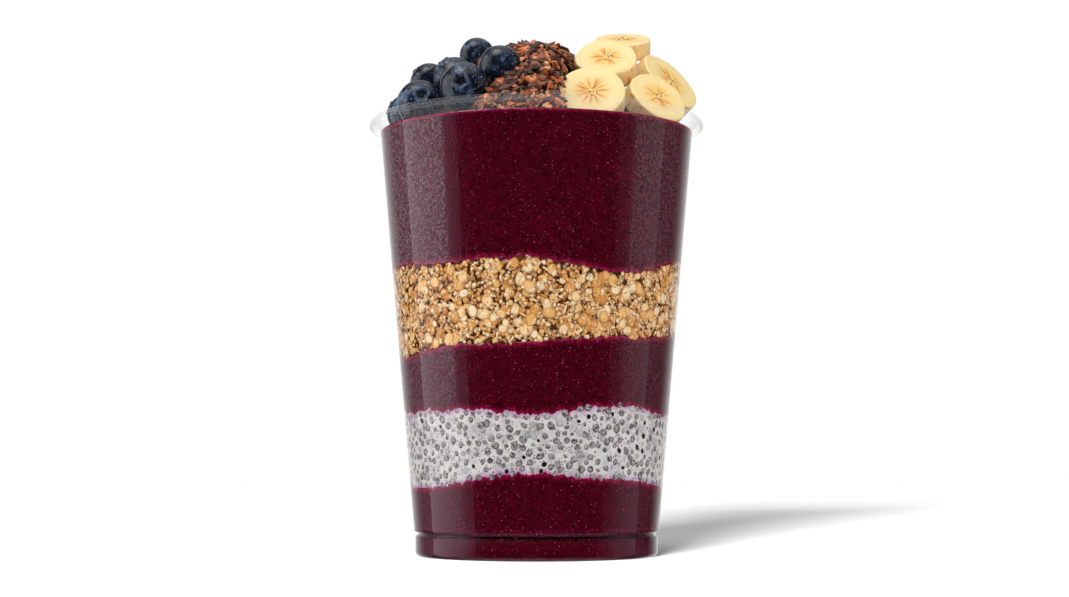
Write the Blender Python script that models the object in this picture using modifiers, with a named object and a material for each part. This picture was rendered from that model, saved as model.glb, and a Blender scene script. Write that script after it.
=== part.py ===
"""Layered acai in a clear cup, topped with blueberries, cacao nibs and banana slices.

The cup stands on its foot at z = 0 with its axis on +Z. The front, -Y, is the side
with the blueberries on the left and the banana on the right. Lengths are in
millimetres until `MM` turns them into metres.
"""
import math

import bmesh
import bpy
from mathutils import Matrix, Vector

MM = 0.001

# Driving dimensions of the cup.
SEGMENTS = 36            # facets round the cup and the layers in it
CUP_HEIGHT = 126.6
LIP_RADIUS = 49.0
LIP_HEIGHT = 2.2
WALL = 0.6
RIM_RADIUS = 45.75       # outside of the wall just below the lip
WALL_FOOT_RADIUS = 35.4  # outside of the wall just above the groove
WALL_FOOT_Z = 8.0
WALL_RIM_Z = CUP_HEIGHT - LIP_HEIGHT - 0.5
BASE_RADIUS = 35.0
GROOVE_Z = 6.5
GROOVE_DEPTH = 0.6
FOOT_INNER_RADIUS = 29.5
HEEL_RADIUS = 1.6          # rounding between the foot and the base ring
FOOT_OUTER_RADIUS = BASE_RADIUS - HEEL_RADIUS
PUSH_UP = 2.0            # how far the middle of the floor stands above the foot

# Air that neighbouring pieces keep between them.
GAP = 0.3

# The food.
FILL_LEVEL = 122.9       # top of the acai where it meets the wall
DISH_LEVEL = 119.0       # top of the acai under the toppings
DISH_RADIUS = 38.5
HEAP_HEIGHT = 25.5       # of the nibs at the axis, above their edge at the wall
HEAP_EDGE = 124.7

# Level of each joint between two layers: its mean height, then waves round the
# axis as (waves a turn, height, phase in degrees), counted from the front to +X.
JOINTS = {
    "chia_floor": (21.0, ((1, 1.0, 0), (2, 1.2, -14), (3, 0.6, -7), (5, 0.4, 63))),
    "chia_top": (41.9, ((1, 0.9, 149), (2, 0.7, -141), (3, 0.5, -38), (5, 1.0, 177))),
    "granola_floor": (60.6, ((1, 3.1, -102), (2, 0.4, -162), (3, 0.9, 44), (5, 0.6, -145))),
    "granola_top": (82.2, ((1, 0.9, -130), (2, 0.9, 120), (3, 1.1, 75), (5, 1.0, 6))),
}

# Blueberries: centre, radius, then where the crown points (azimuth, tilt from up).
BERRIES = (
    ((-17.6, 3.0, 147.4), 5.3, (120, 60)),
    ((-10.3, -22.0, 138.8), 6.2, (70, 75)),
    ((-31.6, -2.6, 138.2), 5.8, (160, 50)),
    ((-23.8, -13.1, 137.6), 6.2, (215, 40)),
    ((-20.2, -30.6, 131.4), 7.0, (-97, 84)),
    ((-33.2, -17.4, 129.1), 6.8, (-83, 74)),
    ((-38.4, -3.2, 128.6), 5.8, (190, 70)),
    ((-35.6, 11.5, 129.2), 6.4, (150, 65)),
    ((-27.2, 24.6, 130.0), 6.7, (120, 50)),
    ((-25.6, 9.8, 137.2), 6.1, (100, 30)),
    ((-14.6, 35.0, 129.4), 6.3, (85, 60)),
    ((-14.8, 20.6, 139.2), 6.4, (95, 55)),
)

# Banana slices: centre, radius, thickness, then the way the cut face looks
# (azimuth, tilt from up).
SLICES = (
    ((25.9, 10.4, 151.2), 8.2, 5.4, (-92, 24)),
    ((20.3, -6.8, 142.3), 8.8, 6.2, (-93, 46)),
    ((15.5, -26.3, 129.1), 9.3, 6.2, (-92, 59)),
    ((33.9, -12.2, 130.3), 8.9, 5.6, (-56, 56)),
    ((38.3, 5.6, 138.4), 10.2, 5.8, (-38, 54)),
    ((33.0, 17.0, 130.6), 8.6, 5.6, (24, 38)),
    ((16.5, 30.0, 129.8), 8.8, 5.6, (72, 50)),
    ((14.4, 16.8, 141.2), 8.6, 5.4, (84, 26)),
)
SLICE_ROUNDING = 0.7

COLOURS = {
    "plastic": (0.90, 0.92, 0.93),
    "acai": (0.09, 0.01, 0.03),
    "chia": (0.70, 0.66, 0.64),
    "granola": (0.55, 0.30, 0.11),
    "nibs": (0.16, 0.05, 0.02),
    "blueberry": (0.02, 0.03, 0.07),
    "banana": (0.90, 0.72, 0.40),
}


def material(name, colour, roughness):
    """A Principled material of one plain colour."""
    made = bpy.data.materials.new(name)
    made.use_nodes = True
    shader = made.node_tree.nodes["Principled BSDF"]
    shader.inputs["Base Color"].default_value = (*colour, 1.0)
    shader.inputs["Roughness"].default_value = roughness
    shader.inputs["Metallic"].default_value = 0.0
    return made


def add_object(name, mesh, kind, roughness):
    """Link a mesh as a named object with a material of its own."""
    made = bpy.data.objects.new(name, mesh)
    mesh.materials.append(material(f"{name}_finish", COLOURS[kind], roughness))
    bpy.context.scene.collection.objects.link(made)
    return made


def to_mesh(name, shape):
    """Turn a bmesh in millimetres into a mesh in metres."""
    bmesh.ops.recalc_face_normals(shape, faces=shape.faces)
    bmesh.ops.scale(shape, vec=(MM, MM, MM), verts=shape.verts)
    mesh = bpy.data.meshes.new(name)
    shape.to_mesh(mesh)
    shape.free()
    return mesh


def facing(azimuth, tilt):
    """Rotation that turns +Z to a direction given by azimuth and tilt from up."""
    return Matrix.Rotation(math.radians(azimuth), 4, "Z") @ Matrix.Rotation(math.radians(tilt), 4, "Y")


def outer_radius(z):
    """Outside radius of the tapered wall at a height."""
    slope = (RIM_RADIUS - WALL_FOOT_RADIUS) / (WALL_RIM_Z - WALL_FOOT_Z)
    return WALL_FOOT_RADIUS + slope * (z - WALL_FOOT_Z)


def filling_radius(z):
    """Radius of the food at a height, clear of the wall's inner face."""
    return outer_radius(z) - WALL - GAP


def profile_of(points):
    """A bmesh with one open outline in the XZ plane, from (radius, z) points."""
    shape = bmesh.new()
    corners = [shape.verts.new((radius, 0.0, z)) for radius, z in points]
    for first, second in zip(corners, corners[1:]):
        shape.edges.new((first, second))
    return shape


def arc(centre, radius, start, end, steps):
    """Points of an arc in the profile plane, angles in degrees from +radius to +z."""
    turns = [math.radians(start + (end - start) * step / steps) for step in range(steps + 1)]
    return [(centre[0] + radius * math.cos(turn), centre[1] + radius * math.sin(turn)) for turn in turns]


def build_cup():
    """The clear cup: pushed-up floor, foot, base ring, groove, tapered wall and rolled lip."""
    lip_half = LIP_HEIGHT / 2
    lip_z = CUP_HEIGHT - lip_half
    groove_radius = BASE_RADIUS - GROOVE_DEPTH
    inner_base = BASE_RADIUS - WALL
    outside = [(0.0, PUSH_UP), (FOOT_INNER_RADIUS - 3.0, PUSH_UP), (FOOT_INNER_RADIUS, 0.0)]
    outside += [(FOOT_OUTER_RADIUS, 0.0)]
    outside += arc((FOOT_OUTER_RADIUS, HEEL_RADIUS), HEEL_RADIUS, -60, 0, 2)
    outside += [(BASE_RADIUS, GROOVE_Z - 0.7), (groove_radius, GROOVE_Z - 0.2)]
    outside += [(groove_radius, GROOVE_Z + 0.4), (WALL_FOOT_RADIUS - 0.1, WALL_FOOT_Z - 0.6)]
    outside += [(WALL_FOOT_RADIUS, WALL_FOOT_Z), (RIM_RADIUS, WALL_RIM_Z)]
    lip = [(RIM_RADIUS + 0.5, WALL_RIM_Z + 0.5)]
    lip += arc((LIP_RADIUS - lip_half, lip_z), lip_half, -90, 90, 4)
    lip += [(RIM_RADIUS + 0.6, CUP_HEIGHT), (RIM_RADIUS - 0.1, CUP_HEIGHT - 0.35)]
    inside = [(RIM_RADIUS - WALL, CUP_HEIGHT - 1.2), (RIM_RADIUS - WALL, WALL_RIM_Z)]
    inside += [(WALL_FOOT_RADIUS - WALL, WALL_FOOT_Z), (WALL_FOOT_RADIUS - WALL - 0.1, WALL_FOOT_Z - 0.4)]
    inside += [(groove_radius - WALL, GROOVE_Z + 0.5), (groove_radius - WALL, GROOVE_Z - 0.4)]
    inside += [(inner_base, GROOVE_Z - 1.1)]
    inside += arc((FOOT_OUTER_RADIUS, HEEL_RADIUS), HEEL_RADIUS - WALL, 0, -90, 3)
    inside += [(FOOT_INNER_RADIUS + 0.2, WALL), (FOOT_INNER_RADIUS - 2.7, PUSH_UP + WALL)]
    inside += [(0.0, PUSH_UP + WALL)]
    cup = add_object("cup", to_mesh("cup", profile_of(outside + lip + inside)), "plastic", 0.08)
    screw = cup.modifiers.new("turn", "SCREW")
    screw.steps = SEGMENTS
    screw.render_steps = SEGMENTS
    screw.use_merge_vertices = True
    screw.merge_threshold = 1e-6
    screw.use_normal_calculate = True
    return cup


def turned(points):
    """A bmesh turned once round the Z axis from an outline that ends on the axis."""
    shape = profile_of(points)
    bmesh.ops.spin(
        shape, geom=shape.verts[:] + shape.edges[:], axis=(0, 0, 1), cent=(0, 0, 0),
        angle=math.tau, steps=SEGMENTS, use_merge=True,
    )
    bmesh.ops.remove_doubles(shape, verts=shape.verts, dist=1e-4)
    return shape


def joint_level(joint, x, y):
    """Height of a joint between layers at a place, flatter towards the axis."""
    mean, waves = JOINTS[joint]
    angle = math.atan2(x, -y)
    swell = sum(size * math.cos(count * angle + math.radians(phase)) for count, size, phase in waves)
    reach = min(1.0, math.hypot(x, y) / filling_radius(mean))
    return mean + swell * reach ** 2


def build_layer(name, kind, floor, top, roughness):
    """A layer of the filling between two joints, or down to the floor or up to the top.

    `floor` and `top` name joints. Without a floor the layer fills the base of the
    cup, and without a top it is dished under the toppings.
    """
    points = []
    if floor:
        level = JOINTS[floor][0]
        points += [(filling_radius(level) * part, level + GAP / 2) for part in (0.0, 0.5, 1.0)]
    else:
        inner_base = BASE_RADIUS - WALL - GAP
        neck = BASE_RADIUS - GROOVE_DEPTH - WALL - GAP
        points += [(0.0, PUSH_UP + WALL + GAP), (FOOT_INNER_RADIUS - 2.5, PUSH_UP + WALL + GAP)]
        points += [(FOOT_INNER_RADIUS + 0.5, WALL + GAP), (FOOT_OUTER_RADIUS - 0.1, WALL + GAP)]
        points += [(inner_base - 0.3, HEEL_RADIUS - 0.2), (inner_base, GROOVE_Z - 1.4)]
        points += [(neck, GROOVE_Z - 0.6)]
        points += [(neck, GROOVE_Z + 0.7), (filling_radius(WALL_FOOT_Z), WALL_FOOT_Z)]
    if top:
        level = JOINTS[top][0]
        points += [(filling_radius(level) * part, level - GAP / 2) for part in (1.0, 0.5, 0.0)]
    else:
        points += [(filling_radius(FILL_LEVEL), FILL_LEVEL), (DISH_RADIUS + 5.0, FILL_LEVEL - 0.3)]
        points += [(DISH_RADIUS + 3.0, DISH_LEVEL + 1.2), (DISH_RADIUS, DISH_LEVEL), (0.0, DISH_LEVEL)]
    shape = turned(points)
    for joint in (floor, top):
        if not joint:
            continue
        mean = JOINTS[joint][0]
        for corner in shape.verts:
            if abs(corner.co.z - mean) > GAP:
                continue
            at_wall = math.hypot(corner.co.x, corner.co.y) > 0.9 * filling_radius(mean)
            corner.co.z += joint_level(joint, corner.co.x, corner.co.y) - mean
            if at_wall:
                outward = Vector((corner.co.x, corner.co.y)).normalized() * filling_radius(corner.co.z)
                corner.co.x, corner.co.y = outward
    return add_object(name, to_mesh(name, shape), kind, roughness)


def heap_level(x, y):
    """Top of the heap of nibs: highest in the middle, lower under the fruit."""
    edge = filling_radius(FILL_LEVEL)
    away = min(1.0, math.hypot(x, y) / edge)
    berry_side = 0.62 / (1.0 + math.exp((x + 21.0) / 1.8))
    banana_edge = 9.0 + 5.0 / (1.0 + math.exp(-(y + 10.0) / 2.5))
    banana_side = 0.62 / (1.0 + math.exp((banana_edge - x) / 2.0))
    front_left = 0.25 * math.exp(-((x + 14.0) / 8.0) ** 2 - ((y + 30.0) / 9.0) ** 2)
    height = HEAP_HEIGHT * (1.0 - away ** 1.7) * (1.0 - berry_side - banana_side - front_left)
    uneven = 0.7 * math.sin(0.45 * x + 1.0) * math.sin(0.38 * y + 0.4) * (1.0 - away)
    return HEAP_EDGE + height + uneven


def build_heap():
    """The heap of cacao nibs out to its uneven outline, lying in the dished acai."""
    edge = filling_radius(FILL_LEVEL)
    points = [(0.0, DISH_LEVEL + GAP), (DISH_RADIUS - 0.3, DISH_LEVEL + GAP)]
    points += [(DISH_RADIUS + 2.6, DISH_LEVEL + 1.3 + GAP), (DISH_RADIUS + 4.6, FILL_LEVEL + GAP)]
    points += [(edge, FILL_LEVEL + 0.1 + GAP)]
    points += [(edge * part, HEAP_EDGE) for part in (1.0, 0.86, 0.7, 0.54, 0.38, 0.2, 0.0)]
    shape = turned(points)
    for corner in shape.verts:
        if corner.co.z > FILL_LEVEL + 0.5:
            corner.co.z = heap_level(corner.co.x, corner.co.y)
    return add_object("nib_heap", to_mesh("nib_heap", shape), "nibs", 0.6)


def berry_shape(radius, crown):
    """A slightly flattened sphere, with a sunken crown on top where `crown` is set."""
    shape = bmesh.new()
    bmesh.ops.create_uvsphere(shape, u_segments=10, v_segments=8, radius=radius)
    for corner in shape.verts:
        corner.co.z *= 0.94
        if crown and corner.co.z > 0.8 * radius:
            corner.co.z -= 0.28 * radius if math.hypot(corner.co.x, corner.co.y) < 0.1 * radius else 0.02 * radius
    return shape


def slice_shape(radius, thickness):
    """A short cylinder on the Z axis."""
    shape = bmesh.new()
    bmesh.ops.create_cone(
        shape, cap_ends=True, segments=20, radius1=radius, radius2=radius, depth=thickness,
    )
    return shape


def place(made, centre, direction):
    """Put an object's centre at a point in millimetres and turn its +Z to a direction."""
    made.matrix_world = Matrix.Translation(Vector(centre) * MM) @ facing(*direction)


def dent(heap, cutters, shape, centre, direction):
    """Cut a hidden copy of a topping, already grown by the gap, out of the heap."""
    name = f"dent_{len(cutters.objects) + 1:02d}"
    cutter = bpy.data.objects.new(name, to_mesh(name, shape))
    cutters.objects.link(cutter)
    cutter.hide_render = True
    cutter.display_type = "WIRE"
    place(cutter, centre, direction)
    cut = heap.modifiers.new(name, "BOOLEAN")
    cut.operation = "DIFFERENCE"
    cut.solver = "EXACT"
    cut.object = cutter


def build_fruit(heap, cutters):
    """The blueberries and banana slices, each dented into the heap of nibs."""
    for number, (centre, radius, crown) in enumerate(BERRIES, start=1):
        name = f"blueberry_{number:02d}"
        berry = add_object(name, to_mesh(name, berry_shape(radius, True)), "blueberry", 0.45)
        place(berry, centre, crown)
        dent(heap, cutters, berry_shape(radius + GAP + 0.1, False), centre, crown)
    for number, (centre, radius, thickness, face) in enumerate(SLICES, start=1):
        name = f"banana_slice_{number}"
        banana = add_object(name, to_mesh(name, slice_shape(radius, thickness)), "banana", 0.5)
        place(banana, centre, face)
        bevel = banana.modifiers.new("rounding", "BEVEL")
        bevel.width = SLICE_ROUNDING * MM
        bevel.segments = 1
        bevel.limit_method = "ANGLE"
        bevel.angle_limit = math.radians(60)
        dent(heap, cutters, slice_shape(radius + GAP, thickness + 2 * GAP), centre, face)


def main():
    for old in list(bpy.data.objects):
        bpy.data.objects.remove(old)
    cutters = bpy.data.collections.new("cutters")
    bpy.context.scene.collection.children.link(cutters)
    build_cup()
    build_layer("acai_bottom", "acai", None, "chia_floor", 0.35)
    build_layer("chia_layer", "chia", "chia_floor", "chia_top", 0.4)
    build_layer("acai_middle", "acai", "chia_top", "granola_floor", 0.35)
    build_layer("granola_layer", "granola", "granola_floor", "granola_top", 0.7)
    build_layer("acai_top", "acai", "granola_top", None, 0.35)
    build_fruit(build_heap(), cutters)


main()
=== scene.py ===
"""Looks of a layered acai cup topped with blueberries, cacao nibs and banana slices."""
from __future__ import annotations

import logging
import math
from dataclasses import dataclass, field
from enum import Enum

import bmesh
import bpy
import numpy as np
from mathutils import Matrix, Vector, noise

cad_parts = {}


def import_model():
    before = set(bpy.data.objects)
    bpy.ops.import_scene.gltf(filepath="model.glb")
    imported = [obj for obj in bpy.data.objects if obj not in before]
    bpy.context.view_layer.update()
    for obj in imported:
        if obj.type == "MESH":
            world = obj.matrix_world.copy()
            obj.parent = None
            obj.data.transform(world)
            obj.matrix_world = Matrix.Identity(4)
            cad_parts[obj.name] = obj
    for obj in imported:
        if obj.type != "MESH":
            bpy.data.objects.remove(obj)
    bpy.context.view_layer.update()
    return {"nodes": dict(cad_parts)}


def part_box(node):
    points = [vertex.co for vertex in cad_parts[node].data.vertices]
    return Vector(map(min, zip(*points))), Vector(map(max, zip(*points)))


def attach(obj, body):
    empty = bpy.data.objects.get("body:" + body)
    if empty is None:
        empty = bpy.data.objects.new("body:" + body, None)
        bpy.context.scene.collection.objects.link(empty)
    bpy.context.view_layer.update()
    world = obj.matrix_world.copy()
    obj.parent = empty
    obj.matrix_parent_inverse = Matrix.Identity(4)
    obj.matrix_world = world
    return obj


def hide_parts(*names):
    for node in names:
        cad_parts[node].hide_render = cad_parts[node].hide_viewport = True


LOG = logging.getLogger("acai_cup")
MM = 0.001
Colour = tuple[float, float, float, float]


class Slot(Enum):
    """Material slots of the record."""

    PLASTIC = "clear_plastic"
    ACAI = "acai"
    CHIA = "chia_pudding"
    GRANOLA = "granola"
    NIBS = "cacao_nibs"
    BLUEBERRY = "blueberry"
    BANANA = "banana"


def srgb(red: int, green: int, blue: int) -> Colour:
    """Turn an sRGB colour into the linear one that the shaders take.

    Args:
        red: Red from 0 to 255.
        green: Green from 0 to 255.
        blue: Blue from 0 to 255.

    Returns:
        Linear red, green and blue, with an alpha of one.
    """
    def linear(value: int) -> float:
        """Linear value of one channel."""
        part = value / 255.0
        return part / 12.92 if part <= 0.04045 else ((part + 0.055) / 1.055) ** 2.4

    return (linear(red), linear(green), linear(blue), 1.0)


# ---------------------------------------------------------------- node trees


class Graph:
    """Adds and joins the nodes of one tree."""

    def __init__(self, tree: bpy.types.NodeTree) -> None:
        """Keep the tree that the nodes go in."""
        self.tree = tree

    def node(self, kind: str, **settings: object) -> bpy.types.Node:
        """Add a node.

        Args:
            kind: Blender's name for the node's type.
            settings: Properties to set on it.

        Returns:
            The new node.
        """
        made = self.tree.nodes.new(kind)
        for name, value in settings.items():
            setattr(made, name, value)
        return made

    def join(self, source: object, target: bpy.types.NodeSocket) -> None:
        """Link an output to an input, or set the input to a plain value."""
        if isinstance(source, bpy.types.NodeSocket):
            self.tree.links.new(source, target)
        else:
            target.default_value = source

    def math(self, operation: str, first: object, second: object = 0.0,
             third: object = 0.0) -> bpy.types.NodeSocket:
        """Join a Math node and return its output."""
        made = self.node("ShaderNodeMath", operation=operation)
        for value, socket in zip((first, second, third), made.inputs):
            self.join(value, socket)
        return made.outputs[0]

    def ramp(self, value: object, low: float, high: float) -> bpy.types.NodeSocket:
        """Fade from 0 at `low` to 1 at `high`, smoothly, and return the output."""
        made = self.node("ShaderNodeMapRange", interpolation_type="SMOOTHSTEP")
        self.join(value, made.inputs["Value"])
        made.inputs["From Min"].default_value = low
        made.inputs["From Max"].default_value = high
        return made.outputs["Result"]

    def mix(self, factor: object, first: object, second: object) -> bpy.types.NodeSocket:
        """Mix two colours and return the output."""
        made = self.node("ShaderNodeMix", data_type="RGBA")
        self.join(factor, made.inputs[0])
        self.join(first, made.inputs[6])
        self.join(second, made.inputs[7])
        return made.outputs[2]

    def noise(self, vector: object, scale: float, detail: float = 3.0,
              roughness: float = 0.55) -> bpy.types.NodeSocket:
        """Add a noise texture and return its value."""
        made = self.node("ShaderNodeTexNoise")
        if vector is not None:
            self.join(vector, made.inputs["Vector"])
        made.inputs["Scale"].default_value = scale
        made.inputs["Detail"].default_value = detail
        made.inputs["Roughness"].default_value = roughness
        return made.outputs[0]

    def attribute(self, name: str) -> bpy.types.Node:
        """Read one of a mesh's own attributes."""
        return self.node("ShaderNodeAttribute", attribute_name=name)

    def place(self) -> bpy.types.NodeSocket:
        """Object coordinates."""
        return self.node("ShaderNodeTexCoord").outputs["Object"]

    def group(self, tree: bpy.types.NodeTree, **values: object) -> bpy.types.Node:
        """Place a shared effect and set or join its inputs."""
        made = self.node("ShaderNodeGroup", node_tree=tree)
        for name, value in values.items():
            self.join(value, made.inputs[name.replace("_", " ").capitalize()])
        return made


def effect(name: str, inputs: tuple[tuple[str, str, object], ...],
           outputs: tuple[tuple[str, str], ...]) -> tuple[
               bpy.types.NodeTree, Graph, bpy.types.Node, bpy.types.Node]:
    """Start a node group for an effect that several materials share.

    Args:
        name: Name of the group.
        inputs: Name, socket type and default of each input.
        outputs: Name and socket type of each output.

    Returns:
        The group's tree, its graph, and its input and output nodes.
    """
    tree = bpy.data.node_groups.new(name, "ShaderNodeTree")
    for label, kind, default in inputs:
        socket = tree.interface.new_socket(name=label, in_out="INPUT", socket_type=f"NodeSocket{kind}")
        if default is not None:
            socket.default_value = default
    for label, kind in outputs:
        tree.interface.new_socket(name=label, in_out="OUTPUT", socket_type=f"NodeSocket{kind}")
    graph = Graph(tree)
    return tree, graph, graph.node("NodeGroupInput"), graph.node("NodeGroupOutput")


def specks_effect() -> bpy.types.NodeTree:
    """Round specks scattered in space: cells of a given scale, a share of which hold a speck."""
    tree, graph, source, result = effect(
        "specks",
        (("Vector", "Vector", None), ("Scale", "Float", 900.0), ("Size", "Float", 0.2),
         ("Share", "Float", 0.5)),
        (("Mask", "Float"), ("Shade", "Float")),
    )
    cells = graph.node("ShaderNodeTexVoronoi")
    graph.join(source.outputs["Vector"], cells.inputs["Vector"])
    graph.join(source.outputs["Scale"], cells.inputs["Scale"])
    split = graph.node("ShaderNodeSeparateColor")
    graph.join(cells.outputs["Color"], split.inputs[0])
    chosen = graph.math("LESS_THAN", split.outputs[0], source.outputs["Share"])
    reach = graph.math("MULTIPLY", source.outputs["Size"], graph.math("ADD", split.outputs[1], 0.5))
    inside = graph.math("SUBTRACT", 1.0, graph.math("DIVIDE", cells.outputs["Distance"], reach))
    soft = graph.math("MULTIPLY", graph.math("MAXIMUM", inside, 0.0), 2.5)
    mask = graph.math("MULTIPLY", graph.math("MINIMUM", soft, 1.0), chosen)
    graph.join(mask, result.inputs["Mask"])
    graph.join(split.outputs[2], result.inputs["Shade"])
    return tree


def relief_effect() -> bpy.types.NodeTree:
    """Soft uneven relief of two sizes, as a normal."""
    tree, graph, source, result = effect(
        "relief",
        (("Vector", "Vector", None), ("Scale", "Float", 500.0), ("Depth", "Float", 0.0002)),
        (("Normal", "Vector"), ("Height", "Float")),
    )
    coarse = graph.node("ShaderNodeTexNoise")
    fine = graph.node("ShaderNodeTexNoise")
    for made, times in ((coarse, 1.0), (fine, 3.1)):
        graph.join(source.outputs["Vector"], made.inputs["Vector"])
        graph.join(graph.math("MULTIPLY", source.outputs["Scale"], times), made.inputs["Scale"])
        made.inputs["Detail"].default_value = 2.0
    height = graph.math("ADD", coarse.outputs[0], graph.math("MULTIPLY", fine.outputs[0], 0.4))
    bump = graph.node("ShaderNodeBump")
    bump.inputs["Strength"].default_value = 1.0
    graph.join(source.outputs["Depth"], bump.inputs["Distance"])
    graph.join(height, bump.inputs["Height"])
    graph.join(bump.outputs[0], result.inputs["Normal"])
    graph.join(height, result.inputs["Height"])
    return tree


@dataclass
class Effects:
    """The shader groups that the finishes share."""

    specks: bpy.types.NodeTree = field(default_factory=specks_effect)
    relief: bpy.types.NodeTree = field(default_factory=relief_effect)


def start_material(name: str) -> tuple[bpy.types.Material, Graph, bpy.types.Node]:
    """Make a material with a Principled shader.

    Args:
        name: Name of the material.

    Returns:
        The material, its graph and the shader.
    """
    made = bpy.data.materials.new(name)
    made.use_nodes = True
    return made, Graph(made.node_tree), made.node_tree.nodes["Principled BSDF"]


def set_soft(shader: bpy.types.Node, weight: float, scale: float,
             radius: tuple[float, float, float]) -> None:
    """Give a shader the light that soaks into moist food."""
    shader.inputs["Subsurface Weight"].default_value = weight
    shader.inputs["Subsurface Scale"].default_value = scale
    shader.inputs["Subsurface Radius"].default_value = radius


@dataclass(frozen=True)
class ClearPlastic:
    """Thin, clear, glossy plastic that lets lamps shine through."""

    roughness: float = 0.015
    ior: float = 1.5
    tint: Colour = (0.985, 0.992, 1.0, 1.0)
    mirror: Colour = (0.1, 0.08, 0.1, 1.0)

    def build(self) -> bpy.types.Material:
        """Make the material."""
        made, graph, shader = start_material("clear_plastic")
        shader.inputs["Base Color"].default_value = self.tint
        shader.inputs["Roughness"].default_value = self.roughness
        shader.inputs["IOR"].default_value = self.ior
        shader.inputs["Transmission Weight"].default_value = 1.0
        shader.inputs["Specular Tint"].default_value = self.mirror
        clear = graph.node("ShaderNodeBsdfTransparent")
        path = graph.node("ShaderNodeLightPath")
        mix = graph.node("ShaderNodeMixShader")
        through = graph.math("MAXIMUM", path.outputs["Is Shadow Ray"], path.outputs["Is Diffuse Ray"])
        through = graph.math("MAXIMUM", through, path.outputs["Is Glossy Ray"])
        graph.join(through, mix.inputs[0])
        graph.join(shader.outputs[0], mix.inputs[1])
        graph.join(clear.outputs[0], mix.inputs[2])
        graph.join(mix.outputs[0], made.node_tree.nodes["Material Output"].inputs["Surface"])
        return made


@dataclass(frozen=True)
class LipPlastic:
    """The same plastic where it stands free: faintly milky, with a painted reflection: white where it is seen
    edge on.
    """

    white: Colour = srgb(236, 238, 242)
    least: float = 0.03
    most: float = 0.55
    turning: float = 0.66
    roughness: float = 0.05

    def build(self) -> bpy.types.Material:
        """Make the material."""
        made, graph, shader = start_material("lip_plastic")
        shader.inputs["Base Color"].default_value = self.white
        shader.inputs["Roughness"].default_value = self.roughness
        weight = graph.node("ShaderNodeLayerWeight")
        weight.inputs["Blend"].default_value = 0.5
        # painted reflection: white grows denser where the lip is seen edge on, standing in for its bright
        # reflection lines
        painted_edge_reflection = graph.ramp(weight.outputs["Facing"], self.turning, 1.0)
        density = graph.math("MULTIPLY_ADD", painted_edge_reflection, self.most - self.least, self.least)
        graph.join(density, shader.inputs["Alpha"])
        return made


@dataclass(frozen=True)
class AcaiFlesh:
    """Smooth, cold, moist puree: burgundy with pale and dark specks and a brighter edge, with painted shade in
    the foot's groove and a painted highlight just above it.
    """

    base: Colour = srgb(80, 3, 21)
    deep: Colour = srgb(50, 0, 9)
    edge: Colour = srgb(150, 16, 64)
    pale: Colour = srgb(206, 116, 148)
    dark: Colour = srgb(16, 2, 8)
    sheen: Colour = (1.0, 0.52, 0.86, 1.0)
    grains: tuple[tuple[float, float, float, float, float], ...] = (
        (1700.0, 0.22, 0.8, 3.0, 0.6), (1150.0, 0.15, 0.5, 2.0, 0.9))

    def build(self, effects: Effects) -> bpy.types.Material:
        """Make the material.

        Args:
            effects: The shared shader groups.

        Returns:
            The finished material.
        """
        made, graph, shader = start_material("acai_flesh")
        place = graph.place()
        coarse = graph.noise(place, 420.0, 4.0, 0.65)
        fine = graph.noise(place, 1900.0, 2.0, 0.6)
        mottle = graph.math("MULTIPLY_ADD", fine, 0.7, graph.math("MULTIPLY", coarse, 0.4))
        mottle = graph.ramp(mottle, 0.4, 0.68)
        colour = graph.mix(mottle, self.deep, self.base)
        patches = graph.ramp(graph.noise(place, 90.0, 2.0), 0.4, 0.75)
        colour = graph.mix(graph.math("MULTIPLY", patches, 0.03), colour, self.edge)
        # the edge tint marks where the layers meet and the top of the fill, and above the foot's groove it is a
        # painted highlight
        ragged = graph.attribute("edge").outputs["Fac"]
        ragged = graph.math("MULTIPLY", ragged, graph.noise(place, 900.0, 2.0))
        colour = graph.mix(graph.ramp(ragged, 0.12, 0.62), colour, self.edge)
        dark = graph.group(effects.specks, vector=place, scale=1250.0, size=0.24, share=0.5)
        colour = graph.mix(graph.math("MULTIPLY", dark.outputs["Mask"], 0.75), colour, self.dark)
        for scale, size, share, power, gain in self.grains:
            pale = graph.group(effects.specks, vector=place, scale=scale, size=size, share=share)
            bright = graph.math("MULTIPLY", graph.math("POWER", pale.outputs["Shade"], power), gain)
            colour = graph.mix(graph.math("MULTIPLY", pale.outputs["Mask"], bright), colour, self.pale)
        # painted shade: the foot's groove is darkened almost to the dark speck colour
        hollow = graph.math("MULTIPLY", graph.attribute("shade").outputs["Fac"], 0.97)
        colour = graph.mix(hollow, colour, self.dark)
        graph.join(colour, shader.inputs["Base Color"])
        gloss = graph.noise(place, 260.0, 2.0)
        graph.join(graph.math("MULTIPLY_ADD", gloss, 0.2, 0.08), shader.inputs["Roughness"])
        shader.inputs["Specular IOR Level"].default_value = 0.3
        frost = graph.ramp(graph.noise(place, 1450.0, 2.0, 0.6), 0.38, 0.68)
        split = graph.node("ShaderNodeSeparateXYZ")
        graph.join(place, split.inputs[0])
        height = graph.ramp(split.outputs[2], 0.0, 0.11)
        graph.join(graph.math("MULTIPLY", frost, graph.math("MULTIPLY_ADD", height, 0.75, 0.25)),
                   shader.inputs["Coat Weight"])
        shader.inputs["Coat Roughness"].default_value = 0.09
        shader.inputs["Coat IOR"].default_value = 1.75
        shader.inputs["Specular Tint"].default_value = self.sheen
        relief = graph.group(effects.relief, vector=place, scale=1100.0, depth=0.00014)
        graph.join(relief.outputs["Normal"], shader.inputs["Normal"])
        set_soft(shader, 0.05, 0.0015, (1.0, 0.1, 0.2))
        return made


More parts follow.
